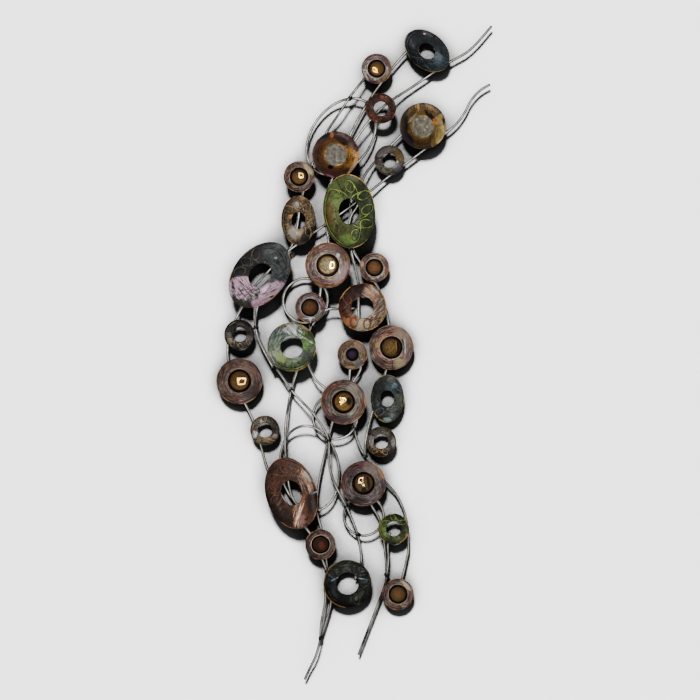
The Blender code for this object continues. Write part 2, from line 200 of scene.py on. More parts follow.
def ring_centres(name):
    """The middle line of a six-sided tube, as the centres of its rings in order.

    A ring's own sides are shorter than any edge that runs along the tube, so corners joined by short
    edges make one ring. Rings that share a long edge are neighbours, and the walk follows them.
    """
    corners, index = solid_corners(name)
    mesh = NODES[name].data
    edges = np.empty(len(mesh.edges) * 2, np.int32)
    mesh.edges.foreach_get("vertices", edges)
    edges = np.unique(np.sort(index.reshape(-1)[edges.reshape(-1, 2)], axis=1), axis=0)
    lengths = np.linalg.norm(corners[edges[:, 0]] - corners[edges[:, 1]], axis=1)
    ring_of = np.arange(len(corners))
    for _ in range(TUBE_SIDES):
        for a, b in edges[lengths < SIDE_OF_TUBE]:
            ring_of[a] = ring_of[b] = min(ring_of[a], ring_of[b])
    labels, ring_of = np.unique(ring_of, return_inverse=True)
    centres = np.array([corners[ring_of == ring].mean(axis=0) for ring in range(len(labels))])
    neighbours = [set() for _ in labels]
    for a, b in ring_of[edges]:
        if a != b:
            neighbours[a].add(int(b))
            neighbours[b].add(int(a))
    ends = [ring for ring, near in enumerate(neighbours) if len(near) == 1]
    walk = [ends[0] if ends else 0]
    while True:
        onward = [ring for ring in sorted(neighbours[walk[-1]]) if ring not in walk]
        if not onward:
            break
        walk.append(onward[0])
    return centres[walk], not ends


def smooth_line(centres, closed):
    """Even steps along a Catmull-Rom curve: between two centres it is a cubic whose slope at each
    centre runs parallel to the line between that centre's neighbours. The result is the points, how far
    along each of them lies, and the whole length."""
    if closed:
        knots = np.vstack([centres[-1:], centres, centres[:2]])
    else:
        knots = np.vstack([2 * centres[0] - centres[1], centres, 2 * centres[-1] - centres[-2]])
    t = np.cumsum(np.concatenate([[0], np.sqrt(np.linalg.norm(np.diff(knots, axis=0), axis=1))]))
    slope = np.gradient(knots, t, axis=0)
    share = np.linspace(0, 1, STEPS_PER_SPAN, endpoint=False)[None, :, None]
    span = np.diff(t)[1:-1, None, None]
    from_point, to_point = knots[1:-2, None], knots[2:-1, None]
    from_slope, to_slope = slope[1:-2, None] * span, slope[2:-1, None] * span
    dense = (
        (2 * share**3 - 3 * share**2 + 1) * from_point
        + (share**3 - 2 * share**2 + share) * from_slope
        + (3 * share**2 - 2 * share**3) * to_point
        + (share**3 - share**2) * to_slope
    ).reshape(-1, 3)
    dense = np.vstack([dense, knots[-2:-1]])
    along = np.concatenate([[0], np.cumsum(np.linalg.norm(np.diff(dense, axis=0), axis=1))])
    even = np.linspace(0, along[-1], round(along[-1] / CURVE_STEP) + 1)
    if closed:
        even = even[:-1]
    else:
        tip = WIRE_RADIUS * TIP_ROWS
        even = np.unique(np.concatenate([even, tip, along[-1] - tip]))
    line = np.stack([np.interp(even, along, dense[:, axis]) for axis in range(3)], axis=1)
    return line, even, along[-1]


LINES = {}
for name in WIRE_NAMES:
    centres, closed = ring_centres(name)
    LINES[name] = (*smooth_line(centres, closed), closed)
print("wire length in all:", round(sum(line[2] for line in LINES.values()), 2), "m")

# %% [markdown]
# ## Where the welds are
# Wires are joined by a blob of weld wherever two of them touch, and by a row of blobs where they run side
# by side. The distance from every point of one wire to every point of another is one small table, so the
# places are found by looking for its lowest values. The same list later drives the soot on the wires.

# %% Find the places where wires touch
TOUCH = 9.0 * MM
BEAD_PITCH = 45 * MM
BEADS_APART = 6 * MM


def contact_runs(near):
    """The index ranges over which near is true."""
    edges = np.flatnonzero(np.diff(np.concatenate([[0], near.astype(int), [0]])))
    return edges.reshape(-1, 2)


def bead_places():
    """Every weld as its place and the step across it, from one wire's middle line to the other's."""
    found = []
    names = list(LINES)
    for k, name in enumerate(names):
        line, along = LINES[name][:2]
        for other in names[k + 1 :]:
            across = LINES[other][0]
            apart = np.linalg.norm(line[:, None] - across[None], axis=2)
            nearest = apart.argmin(axis=1)
            gap = apart[np.arange(len(line)), nearest]
            for start, stop in contact_runs(gap < TOUCH):
                length = along[stop - 1] - along[start]
                count = max(1, round(length / BEAD_PITCH))
                if count == 1:
                    picks = [start + int(gap[start:stop].argmin())]
                else:
                    picks = np.linspace(start + 1, stop - 2, count).astype(int)
                for pick in picks:
                    a, b = line[pick], across[nearest[pick]]
                    found.append(((a + b) / 2, b - a))
    return found


BEADS = []
for place, between in bead_places():
    if all(np.linalg.norm(place - other) > BEADS_APART for other, _ in BEADS):
        BEADS.append((place, between))
print(len(BEADS), "welds between wires")

# %% Sweep the wires
SIDES = 12
SOOT_REACH = 8.5 * MM


def swept_wire(line, even, length, closed):
    """A round profile carried along a line.

    Every row is a circle square to the line. Its first axis is the part of the wall's normal that is
    square to the line, so the tube never twists. At a free end the radius follows a quarter circle. The
    second result is how squarely each point faces the room or the wall: 1 there and 0 at the sides.
    """
    if closed:
        tangent = np.roll(line, -1, axis=0) - np.roll(line, 1, axis=0)
    else:
        tangent = np.gradient(line, axis=0)
    tangent /= np.linalg.norm(tangent, axis=1, keepdims=True)
    outward = np.array([0.0, -1.0, 0.0]) + tangent[:, 1:2] * tangent
    outward /= np.linalg.norm(outward, axis=1, keepdims=True)
    sideways = np.cross(tangent, outward)
    radius = np.full(len(line), WIRE_RADIUS)
    if not closed:
        from_end = np.minimum(even, length - even) / WIRE_RADIUS
        radius *= np.sqrt(np.clip(1 - np.clip(1 - from_end, 0, 1) ** 2, 0.0, 1))
    across, along = np.cos(full_turn(SIDES)), np.sin(full_turn(SIDES))
    circle = across[None, :, None] * outward[:, None] + along[None, :, None] * sideways[:, None]
    grid = line[:, None] + radius[:, None, None] * circle
    # how squarely each point faces the room or the wall; the wire finish turns it into a painted highlight
    # in front and painted shade on the sides
    facing = np.abs(across[None, :] * outward[:, 1:2])
    if closed:
        return woven(grid, wrap_rows=True), facing.ravel()
    return woven(grid[1:-1], poles=line[[0, -1]]), np.append(facing[1:-1].ravel(), [0, 0])


def soot(points):
    """1 at a weld, falling to 0 as a bell curve twice SOOT_REACH wide."""
    places = np.array([place for place, _ in BEADS])
    nearest = np.min(np.linalg.norm(points[:, None] - places[None], axis=2), axis=1)
    return np.exp(-((nearest / SOOT_REACH) ** 2))


WIRES = {}
for name, (line, even, length, closed) in LINES.items():
    part, facing = swept_wire(line, even, length, closed)
    WIRES[name] = stand_in(name, "_rod", [part], {"soot": soot(part[0]), "facing": facing}, "wire")
print("wires:", triangle_count(WIRES.values()), "triangles")

# %% [markdown]
# ## Plates
# Each plate is a disc or an oval of sheet metal about 1.5 mm thick, dished so that its rim stands off the
# wires. Its place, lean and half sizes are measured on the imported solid: the foremost corners are the rim,
# and the rearmost are the edge of the hole or of the flat middle. The cut edge is then drawn as one
# profile, from the back round the rim to the front, and carried round the plate.

# %% Measure a plate on its solid
SHEET = 1.5 * MM
LEVEL = 0.02 * MM


def half_sizes(points, centre):
    """Half widths of an oval from points spaced evenly round it: the spread along each of its axes is
    the half width over the square root of two."""
    offset = points - centre
    spread, axes = np.linalg.eigh(offset.T @ offset / len(points))
    return np.sqrt(2 * spread), axes


def measure_plate(name):
    """Where a plate is and how large: its middle, the directions of its two axes, its half widths at the
    rim and at the hole or the flat middle, how far its back stands off the wall, how high its rim rises
    over that, and how wide it is from hole to rim."""
    points, _ = solid_corners(name)
    back, front = points[:, 1].max(), points[:, 1].min()
    rim = points[points[:, 1] < front + LEVEL][:, [0, 2]]
    middle = points[points[:, 1] > back - LEVEL][:, [0, 2]]
    centre = rim.mean(axis=0)
    outer, axes = half_sizes(rim, centre)
    hub = middle[np.linalg.norm(middle - centre, axis=1) > MM] - centre
    inner = np.sqrt(2 * np.mean((hub @ axes) ** 2, axis=0))
    return {
        "centre": centre,
        "axes": axes.T,
        "outer": outer,
        "inner": inner,
        "seat": -back,
        "rise": back - front - SHEET,
        "band": float(np.mean(outer - inner)),
    }


PLATES = {name: measure_plate(name) for name in RING_NAMES + EYE_NAMES + BOWL_NAMES}
sizes = [2 * plate["outer"].max() / MM for plate in PLATES.values()]
print(f"plates from {min(sizes):.0f} to {max(sizes):.0f} mm across")

# %% Draw the cut edge and carry it round
EDGE_ROWS = 6
DENT_DEPTH, SHORTEST_DENT, LONGEST_DENT = 0.16 * MM, 7 * MM, 24 * MM
DENT_WAVES = 26
OUTLINE_RIPPLE, OUTLINE_INSET = 0.010, 0.004
RIM_SAG = 0.05
FAR = 12.0  # the distance from an embossed line, in half line widths, where there is none


def hammered(flat, seed):
    """Shallow uneven dents: the sum of plane waves in random directions, whose lengths lie between the
    shortest and the longest and whose heights grow with their lengths, scaled to the usual depth."""
    random = np.random.default_rng(seed)
    total = np.zeros(flat.shape[:2])
    for _ in range(DENT_WAVES):
        length = random.uniform(SHORTEST_DENT, LONGEST_DENT)
        way = random.uniform(0, 2 * math.pi)
        run = (flat[..., 0] * math.cos(way) + flat[..., 1] * math.sin(way)) / length
        total += length / LONGEST_DENT * np.cos(2 * math.pi * run + random.uniform(0, 2 * math.pi))
    return DENT_DEPTH * total / math.sqrt(DENT_WAVES)


def edge_profile(shape, front_rows, back_rows, middle_share):
    """The profile as (share, lift): share is 0 at the hole and 1 at the rim, lift is 0 on the back of the
    sheet and 1 on its front. Half circles as thick as the sheet round off the rim and the hole."""
    tight = SHEET / 2 / shape["band"]
    turn = np.linspace(-math.pi / 2, math.pi / 2, EDGE_ROWS + 2)[1:-1]
    back = np.linspace(middle_share, 1 - tight, back_rows)
    front = np.linspace(1 - tight, middle_share, front_rows)
    share = [back, 1 - tight + tight * np.cos(turn), front]
    lift = [np.zeros(back_rows), (1 + np.sin(turn)) / 2, np.ones(front_rows)]
    if middle_share > 0:
        share.append(middle_share - tight * np.cos(turn))
        lift.append((1 - np.sin(turn)) / 2)
    return np.concatenate(share), np.concatenate(lift)


def plate_grid(shape, share, lift, columns, height, seed, relief=None):
    """Points of a plate: the place is between the inner and the outer oval by share, and the distance
    from the wall is the seat, the dish's height at that share, dents, the sheet's thickness times lift,
    and the relief on the front. The outline and the dish ripple a little, as hand-cut sheet does. The
    marks are the distance to the rim in mm, and the distance to the nearest embossed line."""
    angle = full_turn(columns)[None, :]
    share, lift = share[:, None], lift[:, None]
    ripple = 1 + (wobble(angle, seed, 2, 7, OUTLINE_RIPPLE) - OUTLINE_INSET) * np.clip(share, 0, 1)
    half = [shape["inner"][k] + (shape["outer"][k] - shape["inner"][k]) * share for k in (0, 1)]
    across, up = half[0] * ripple * np.cos(angle), half[1] * ripple * np.sin(angle)
    sag = wobble(angle, seed + 50, 2, 4, RIM_SAG * shape["rise"]) * np.clip(share, 0, 1) ** 2
    depth = shape["seat"] + height(share, angle) + sag + SHEET * lift
    flat = across[..., None] * shape["axes"][0] + up[..., None] * shape["axes"][1] + shape["centre"]
    # the dents fade out at the hole and grow shallow at the rim
    fade = np.clip(np.minimum(share * 4, (1 - share) * 8 + 0.35), 0, 1)
    depth = depth + hammered(flat, seed + 70) * fade
    marks = {"rim": np.abs(1 - share) * shape["band"] / MM + 0 * angle}
    if relief is not None:
        on_front = lift > 0.99
        raised, near = relief(flat, share, angle)
        depth = depth + raised * on_front
        marks["near"] = np.where(on_front, near, FAR)
    return np.stack([flat[..., 0], -depth, flat[..., 1]], axis=-1), marks


# %% [markdown]
# ## Embossed curls
# The ring plates carry a simple traditional ornament: open loops like curled wire, pressed from behind so
# that they stand up as a soft line, with a long line that follows the rim. Bump alone would look painted
# on, so each loop is a short spiral, and a plate's surface rises wherever a spiral passes close by.

# %% Lay out the curls and raise the sheet along them
LINE_HEIGHT_SHARE = 0.8
PLAIN_EDGE = 1.6 * MM
ARC_FADE_DEGREES = 12
TURN_POINTS, TAIL_POINTS = 26, 9
TURN_WIDTH, TAIL_LENGTH = 0.66, 2.1


def curl(centre, size, turn, hand):
    """A loop with a tail, like a nine: one oval turn, then a tail that runs down beside it along the
    parabola 0.5 t - 0.75 t * t. A hand of 1 puts the tail on one side and -1 on the other."""
    angle = np.linspace(0, 2 * math.pi, TURN_POINTS)
    t = np.linspace(0, 1, TAIL_POINTS + 1)[1:]
    across = np.concatenate([TURN_WIDTH * np.cos(angle), TURN_WIDTH + 0.5 * t - 0.75 * t**2])
    across = hand * size * across
    up = size * np.concatenate([np.sin(angle), -TAIL_LENGTH * t])
    c, s = math.cos(turn), math.sin(turn)
    return centre + np.stack([across * c - up * s, across * s + up * c], axis=1)


def distance_to_line(points, line):
    """The shortest distance from each point to a line of straight pieces."""
    a, b = line[:-1], line[1:]
    run = b - a
    offset = points[..., None, :] - a
    share = np.clip(np.einsum("...kj,kj->...k", offset, run) / np.sum(run**2, axis=1), 0, 1)
    return np.linalg.norm(offset - share[..., None] * run, axis=-1).min(axis=-1)


def line_half_width(size):
    """Half the width of an embossed line, which grows with the size of its loop."""
    return (0.64 + 0.028 * size) * MM


def curls_on(shape, first, last, count, size, arc=None):
    """A relief function for a plate: loops spread from the first angle to the last, in degrees. It
    gives the height, which is a bell curve across the line, and the distance in half line widths."""
    width = line_half_width(size)
    lines = []
    for k, degrees in enumerate(np.linspace(first, last, count)):
        angle = math.radians(degrees)
        way = np.array([math.cos(angle), math.sin(angle)])
        reach = np.linalg.norm((shape["axes"] @ way) * (shape["inner"] + shape["outer"]) / 2)
        swing, hand = (0.5, 1) if k % 3 else (-0.4, -1)
        lines.append(curl(shape["centre"] + way * reach, size * MM, angle - math.pi / 2 + swing, hand))

    def relief(flat, share, angle):
        near = np.full(flat.shape[:2], FAR)
        for line in lines:
            box = np.abs(flat - line.mean(axis=0)).max(axis=-1) < 2.0 * size * MM + 4 * width
            near[box] = np.minimum(near[box], distance_to_line(flat[box], line) / width)
        if arc is not None:
            place, start, stop = arc
            turn = (np.degrees(angle) - start) % 360
            outside = np.clip(1 - np.minimum(turn, (stop - start) - turn) / ARC_FADE_DEGREES, 0, 1)
            near = np.minimum(near, np.abs(share - place) * shape["band"] / width + FAR * outside)
        edge = np.minimum(share, 1 - share) * shape["band"] / PLAIN_EDGE
        near = near + FAR * np.clip(1 - edge, 0, 1)
        return LINE_HEIGHT_SHARE * width * np.exp(-(near**2)), near

    return relief


# first and last angle, number of loops, size in mm, and the long line as (share, from, to)
CURLS = {
    "oval_ring_blue": (190, 285, 3, 7.5, (0.8, 20, 120)),
    "oval_ring_green": (-76, 130, 6, 11.5, (0.86, -80, 60)),
    "oval_ring_tan": (-50, 130, 6, 8.0, (0.8, 140, 260)),
    "oval_ring_charcoal": (100, 170, 3, 11.0, (0.74, 40, 150)),
    "oval_ring_teal": (240, 310, 2, 9.0, (0.8, 150, 215)),
    "oval_ring_bronze": (75, 200, 5, 8.0, (0.9, 90, 200)),
    "round_ring_copper": (150, 285, 4, 9.5, None),
    "round_ring_sage": (10, 60, 2, 9.5, (0.8, 200, 330)),
    "round_ring_black": (-60, 130, 4, 9.0, (0.7, 200, 260)),
    "small_ring_copper": (200, 330, 3, 5.4, None),
    "small_ring_grey": (200, 280, 2, 5.2, None),
    "small_ring_black": (190, 320, 4, 5.0, (0.72, 95, 150)),
    "small_ring_olive": (95, 130, 2, 6.6, (0.7, 235, 310)),
    "small_ring_khaki": (235, 290, 2, 5.2, (0.75, 150, 215)),
    "small_ring_moss": (35, 150, 3, 6.2, (0.7, 200, 320)),
}

# %% Build the ring plates
BACK_ROWS = 5


def dished(shape, straight, bent, power):
    """A plate's height above its seat: its rise times the sum of a part that grows straight with the
    share of the way out and a part that grows as a power of it."""

    def height(share, angle):
        out = np.clip(share, 0, 1)
        return shape["rise"] * (straight * out + bent * out**power)

    return height


def detail(shape):
    """Columns and front rows for a plate, in steps that are finer on the smaller plates."""
    around = math.pi * shape["outer"].sum()
    step = (0.42 + 0.008 * shape["outer"].max() / MM) * MM
    return round(around / (1.2 * step) / 4) * 4, round(shape["band"] / step)


FINISHED = {}
for seed, name in enumerate(RING_NAMES):
    shape = PLATES[name]
    columns, front_rows = detail(shape)
    share, lift = edge_profile(shape, front_rows, BACK_ROWS, SHEET / 2 / shape["band"])
    relief = curls_on(shape, *CURLS[name])
    grid, marks = plate_grid(shape, share, lift, columns, dished(shape, 0.30, 0.70, 2), seed, relief)
    FINISHED[name] = stand_in(name, "_plate", [woven(grid, wrap_rows=True)], marks, name)
print("ring plates:", triangle_count(FINISHED.values()), "triangles")

# %% [markdown]
# ## Eye plates and bowls
# An eye plate is spun: a tool pressed against the turning sheet leaves fine rings all over it. A raised
# bead frames a dark seat, and a glossy cap is fixed in that seat. The rings are cut into the profile
# itself, which costs rows in one direction only, so the light catches real grooves. A bowl has no hole
# either: its wall leaves a flat middle steeply and flattens towards the rim.

# %% Build the eye plates and the bowls
GROOVE_PITCH, GROOVE_DEPTH = 3.1 * MM, 0.26 * MM
FINE_PITCH, FINE_DEPTH = 1.05 * MM, 0.05 * MM
BEAD_HALF_WIDTH, BEAD_HEIGHT, BEAD_CLEAR = 1.0 * MM, 1.0 * MM, 1.4 * MM
BEAD_GAP = 1.5 * MM
RING_DRIFT = 2.2 * MM
ROWS_PER_FINE_RING = 3.2
SHORT_OF_MIDDLE = 0.97
EYE_COLUMNS, BOWL_COLUMNS, BOWL_ROWS, WHOLE_BACK_ROWS = 100, 150, 70, 14


def dome_radius(name):
    """The radius of an eye plate's cap, from the cap's packed box."""
    low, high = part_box(name + "_dome")
    return (high[0] - low[0]) / 2


def ring_drift(radius, angle, seed, outer):
    """How far the tool's rings wander from true circles: up to RING_DRIFT, more towards the rim."""
    return wobble(angle, seed + 9, 1, 6, RING_DRIFT) * (radius / outer) ** 1.5


def spun(shape, bead_at, seed):
    """The spun plate's height: a gentle dish, a ripple of one broad groove every GROOVE_PITCH and one
    fine groove every FINE_PITCH whose rings drift off centre, and a round bead at the radius bead_at."""
    gentle = dished(shape, 0.55, 0.45, 2)

    def height(share, angle):
        radius = shape["inner"][0] + (shape["outer"][0] - shape["inner"][0]) * share
        drifted = radius + ring_drift(np.abs(radius), angle, seed, shape["outer"][0])
        ripple = GROOVE_DEPTH * np.abs(np.sin(math.pi * drifted / GROOVE_PITCH))
        ripple = ripple + FINE_DEPTH * np.sin(2 * math.pi * drifted / FINE_PITCH)
        # no grooves inside the bead, beside it, or at the very rim
        clear = np.clip((radius - bead_at - BEAD_CLEAR) / MM, 0, 1) * np.clip((1 - share) * 12, 0, 1)
        bead = BEAD_HEIGHT * np.exp(-(((radius - bead_at) / BEAD_HALF_WIDTH) ** 2))
        return gentle(share, angle) + ripple * clear + bead

    return height


def whole_plate(shape, rows, columns, height, seed):
    """A plate with no hole: the profile starts and ends near the middle, where a pole closes it. It adds
    a mark for the distance from the middle in mm."""
    x, z = shape["centre"]
    middle = -shape["inner"][0] / (shape["outer"][0] - shape["inner"][0])
    share, lift = edge_profile(shape, rows, WHOLE_BACK_ROWS, middle * SHORT_OF_MIDDLE)
    grid, marks = plate_grid(shape, share, lift, columns, height, seed)
    poles = np.array([[x, -depth, z] for depth in (shape["seat"], shape["seat"] + SHEET)])
    marks["radius"] = np.hypot(grid[..., 0] - x, grid[..., 2] - z) / MM
    for name, values in marks.items():
        marks[name] = np.append(np.ravel(values), [values[0, 0], values[-1, 0]])
    return [woven(grid, poles=poles)], marks


for seed, name in enumerate(EYE_NAMES, 100):
    shape = PLATES[name]
    rows = round(shape["outer"][0] / FINE_PITCH * ROWS_PER_FINE_RING)
    height = spun(shape, dome_radius(name) + BEAD_GAP, seed)
    parts, marks = whole_plate(shape, rows, EYE_COLUMNS, height, seed)
    offset = parts[0][0][:, [0, 2]] - shape["centre"]
    radius, angle = marks["radius"] * MM, np.arctan2(offset[:, 1], offset[:, 0])
    marks["band"] = (radius + ring_drift(radius, angle, seed, shape["outer"][0])) / GROOVE_PITCH
    FINISHED[name] = stand_in(name, "_plate", parts, marks, "eye_plate")

for seed, name in enumerate(BOWL_NAMES, 200):
    shape = PLATES[name]
    wall = dished(shape, 1.25, -0.25, 3)
    parts, marks = whole_plate(shape, BOWL_ROWS, BOWL_COLUMNS, wall, seed)
    FINISHED[name] = stand_in(name, "_plate", parts, marks, name)
print("all plates:", triangle_count(FINISHED.values()), "triangles")

# %% [markdown]
# ## Glossy domes
# The caps are pressed sheet under thick lacquer, so they mirror the room as a polished knob does. A
# perfect sphere would give a perfect highlight. A few shallow dents of well under a millimetre bend it
# the way the hand-finished ones do.

# %% Build the domes
# how far each polished cap's top lies off its middle, across and up, and how wavy it is
CAP_TOPS = {
    "small_eye_top_dome": (-0.40, -0.16, 0.05),
    "small_eye_upper_left_dome": (0.05, 0.10, 0.01),
    "big_eye_left_dome": (-0.12, -0.42, 0.02),
    "big_eye_middle_dome": (-0.30, -0.34, 0.16),
    "big_eye_lower_dome": (-0.32, -0.26, 0.16),
    "big_eye_upper_dome": (0.34, -0.30, 0.05),
}
PLAIN_CAP = (0.0, 0.0, 0.02)
CAP_ROWS, CAP_COLUMNS = 19, 56
BACK_SHARES = (0.5, 0.9)
CAP_FULLNESS, CAP_POWER = 0.96, 0.45


def dome_parts(name, seed):
    """A low cap. At the distance r from its top its height is 1 - r * r, raised to CAP_POWER, so the
    edge stands up steeply. The top's place off the middle is taken away from each point by one less the
    square of its radius, so the edge stays where it was. The mark is the share of the way to the edge."""
    low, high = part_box(name)
    centre = [(low[0] + high[0]) / 2, (low[2] + high[2]) / 2]
    radius, rise = (high[0] - low[0]) / 2, high[1] - low[1]
    top_x, top_z, waves = CAP_TOPS.get(name, PLAIN_CAP)
    turn = np.linspace(0, math.pi / 2, CAP_ROWS + 1)[:-1]
    angle = full_turn(CAP_COLUMNS)[None, :]
    out = np.concatenate([BACK_SHARES, np.cos(turn)])[:, None]
    front = np.concatenate([np.zeros(len(BACK_SHARES)), np.ones(len(turn))])[:, None]
    inward = 1 - out**2

    def lifted(out, inward, dents):
        away = np.hypot(out * np.cos(angle) - top_x * inward, out * np.sin(angle) - top_z * inward)
        return CAP_FULLNESS * np.clip(1 - away**2, 0, 1) ** CAP_POWER * (1 + dents)

    dents = wobble(angle, seed, 1, 4, waves) * out * (1 - out) * 4
    across, up = centre[0] + radius * out * np.cos(angle), centre[1] + radius * out * np.sin(angle)
    depth = high[1] - rise * front * np.minimum(lifted(out, inward, dents), 1.0)
    grid = np.stack([across, depth, up], axis=-1)
    middle_lift = float(lifted(0.0, 1.0, 0.0).mean())
    poles = np.array([[centre[0], high[1] - rise * share, centre[1]] for share in (0.0, middle_lift)])
    share = np.append(np.ravel(out + 0 * angle), [0, 0])
    return [woven(grid, poles=poles)], {"out": share}


for seed, name in enumerate(DOME_NAMES, 300):
    FINISHED[name] = stand_in(name, "_cap", *dome_parts(name, seed), "dome")
print("caps:", triangle_count(FINISHED[name] for name in DOME_NAMES), "triangles")

# %% [markdown]
# ## Weld beads
# A weld is a small frozen puddle, a little wider than the wire, lumpy and never twice the same. Each bead
# is a ball stretched along the line between the two wires, with a few low bumps. Plates get tacks too,
# where a wire passes close behind the sheet.

# %% Build the beads
BEAD_ROWS, BEAD_COLUMNS = 7, 14
WELD_HALF, WELD_REACH = (4.6, 5.4), 0.8
TACK_HALF, TACK_REACH = (3.8, 4.2), 0.5
TACK_STEP = np.array([0, 1.6 * MM, 0])
TACK_DEPTH, TACK_GAP = 0.8 * MM, (-0.5 * MM, 2.2 * MM)
PAST_HOLE, SHORT_OF_RIM = 1.08, 0.8
LONG_CONTACT, STEPS_IN = 12, 3
NO_BEAD_LIES_THIS_WAY = (0.31, 0.2, 0.93)


def bead_part(place, between, seed, half, reach):
    """A lumpy ball: its radius is 1 plus small waves in both angles. It is half as wide as half says, in
    mm, across the line between the two wires, and reach of that line's length along it."""
    random = np.random.default_rng(seed)
    length = np.linalg.norm(between)
    axis = between / length
    side = np.cross(axis, NO_BEAD_LIES_THIS_WAY)
    side /= np.linalg.norm(side)
    other = np.cross(axis, side)
    polar = np.linspace(0, math.pi, BEAD_ROWS + 2)[1:-1, None]
    angle = full_turn(BEAD_COLUMNS)[None, :]
    phase = random.uniform(0, 2 * math.pi, 3)
    lumps = 1 + 0.10 * np.sin(2 * angle + phase[0]) * np.sin(polar) + 0.07 * np.cos(3 * polar + phase[1])
    scale = random.uniform(0.9, 1.12, 3) * np.array([half[0] * MM, half[1] * MM, length * reach + MM])
    grid = place + lumps[..., None] * (
        (scale[0] * np.sin(polar) * np.cos(angle))[..., None] * side
        + (scale[1] * np.sin(polar) * np.sin(angle))[..., None] * other
        + (scale[2] * np.cos(polar) + 0 * angle)[..., None] * axis
    )
    poles = np.array([place + scale[2] * axis, place - scale[2] * axis])
    return woven(grid, poles=poles)


def tack_places(shape):
    """Where wires pass close behind the part of a plate that lies near its seat."""
    found = []
    for line, *_ in LINES.values():
        offset = (line[:, [0, 2]] - shape["centre"]) @ shape["axes"].T
        outward = np.linalg.norm(offset / shape["outer"], axis=1)
        inward = np.linalg.norm(offset / shape["inner"], axis=1)
        gap = shape["seat"] + line[:, 1] - WIRE_RADIUS
        close = (gap > TACK_GAP[0]) & (gap < TACK_GAP[1])
        close &= (outward < SHORT_OF_RIM) & (inward > PAST_HOLE)
        for start, stop in contact_runs(close):
            pick = (start + stop) // 2 if stop - start < LONG_CONTACT else start + STEPS_IN
            found.append(np.array([line[pick][0], -shape["seat"] + TACK_DEPTH, line[pick][2]]))
    return found


parts = [bead_part(*bead, seed, WELD_HALF, WELD_REACH) for seed, bead in enumerate(BEADS)]
WELDS = put_in("weld_beads", parts)
tacks = [place for shape in PLATES.values() for place in tack_places(shape)]
parts = [bead_part(place, TACK_STEP, seed, TACK_HALF, TACK_REACH) for seed, place in enumerate(tacks, 500)]
TACKS = put_in("plate_tacks", parts)
print(len(BEADS), "weld beads and", len(tacks), "plate tacks")

# %% [markdown]
# ## Finishes from nodes
# The real plates are coloured by torch heat and dyes under a clear lacquer, so no plate has one colour.
# Each material is a small tree of nodes. Two helpers keep those trees short: one adds a node and joins
# its inputs, the other opens a node group, so that one effect can serve every plate.

# %% Short ways to add nodes
def tone(red, green, blue):
    """A colour given as three numbers to 255 on a screen, turned into light amounts."""
    screen = np.array([red, green, blue]) / 255
    light = np.where(screen < 0.04045, screen / 12.92, ((screen + 0.055) / 1.055) ** 2.4)
    return (*light.tolist(), 1.0)


def add_node(tree, kind, values=None, **settings):
    """A node with its settings; each input named in values takes a number or another node's output."""
    node = tree.nodes.new("ShaderNode" + kind)
    for setting, value in settings.items():
        setattr(node, setting, value)
    for socket, value in (values or {}).items():
        if isinstance(value, bpy.types.NodeSocket):
            tree.links.new(value, node.inputs[socket])
        else:
            node.inputs[socket].default_value = value
    return node


def calc(tree, operation, *values):
    """One step of arithmetic on numbers or outputs."""
    return add_node(tree, "Math", dict(enumerate(values)), operation=operation).outputs[0]


def vector_calc(tree, operation, *values, output="Vector"):
    """One step of arithmetic on places, one axis at a time, or a measure of them."""
    return add_node(tree, "VectorMath", dict(enumerate(values)), operation=operation).outputs[output]


def ramp(tree, value, start, stop, low=0.0, high=1.0):
    """A smooth step from low at start to high at stop."""
    values = {"Value": value, "From Min": start, "From Max": stop, "To Min": low, "To Max": high}
    return add_node(tree, "MapRange", values, interpolation_type="SMOOTHSTEP").outputs[0]


def mixed(tree, share, under, over):
    """The colour under, covered by the colour over as far as share says."""
    return add_node(tree, "Mix", {0: share, 6: under, 7: over}, data_type="RGBA").outputs[2]


def noise(tree, place, scale, detail, seed=0.0, output="Fac", rough=0.5):
    """Cloudy noise: scale is how many clouds fit in one unit, detail how many finer layers it has."""
    values = {"Vector": place, "W": seed, "Scale": scale, "Detail": detail, "Roughness": rough}
    return add_node(tree, "TexNoise", values, noise_dimensions="4D").outputs[output]


def brightened(tree, colour, amount):
    """The colour times amount."""
    return add_node(tree, "HueSaturation", {"Color": colour, "Value": amount}).outputs[0]


def darkened(tree, colour, mask, share):
    """The colour, darker by share where the mask is 1."""
    return brightened(tree, colour, calc(tree, "MULTIPLY_ADD", mask, -share, 1.0))


def swayed(tree, value, cloud, size):
    """The value, moved up or down by as much as the noise is off its middle, times size."""
    return calc(tree, "MULTIPLY_ADD", calc(tree, "SUBTRACT", cloud, 0.5), size, value)


def turned(tree, place, angle):
    """The place, turned about the line that points out of the wall."""
    values = {"Vector": place, "Axis": (0, 1, 0), "Angle": angle}
    return add_node(tree, "VectorRotate", values, rotation_type="AXIS_ANGLE").outputs[0]


def object_place(tree):
    """Each point's place in metres, which stays put on the piece."""
    return add_node(tree, "TexCoord").outputs["Object"]


def mark(tree, name):
    """The number that the mesh carries at each point under that name."""
    return add_node(tree, "Attribute", attribute_name=name).outputs["Fac"]


def open_group(name, inputs, outputs):
    """A node group with named inputs and outputs: the tree, what comes in, and what goes out."""
    tree = bpy.data.node_groups.new(name, "ShaderNodeTree")
    for socket, kind in inputs.items():
        tree.interface.new_socket(socket, in_out="INPUT", socket_type="NodeSocket" + kind)
    for socket, kind in outputs.items():
        tree.interface.new_socket(socket, in_out="OUTPUT", socket_type="NodeSocket" + kind)
    return tree, tree.nodes.new("NodeGroupInput").outputs, tree.nodes.new("NodeGroupOutput").inputs


def use_group(tree, group, values):
    """The outputs of a copy of the group, with its own values."""
    return add_node(tree, "Group", values, node_tree=group).outputs


print("mid grey on a screen is", round(tone(128, 128, 128)[0], 2), "of white in light")
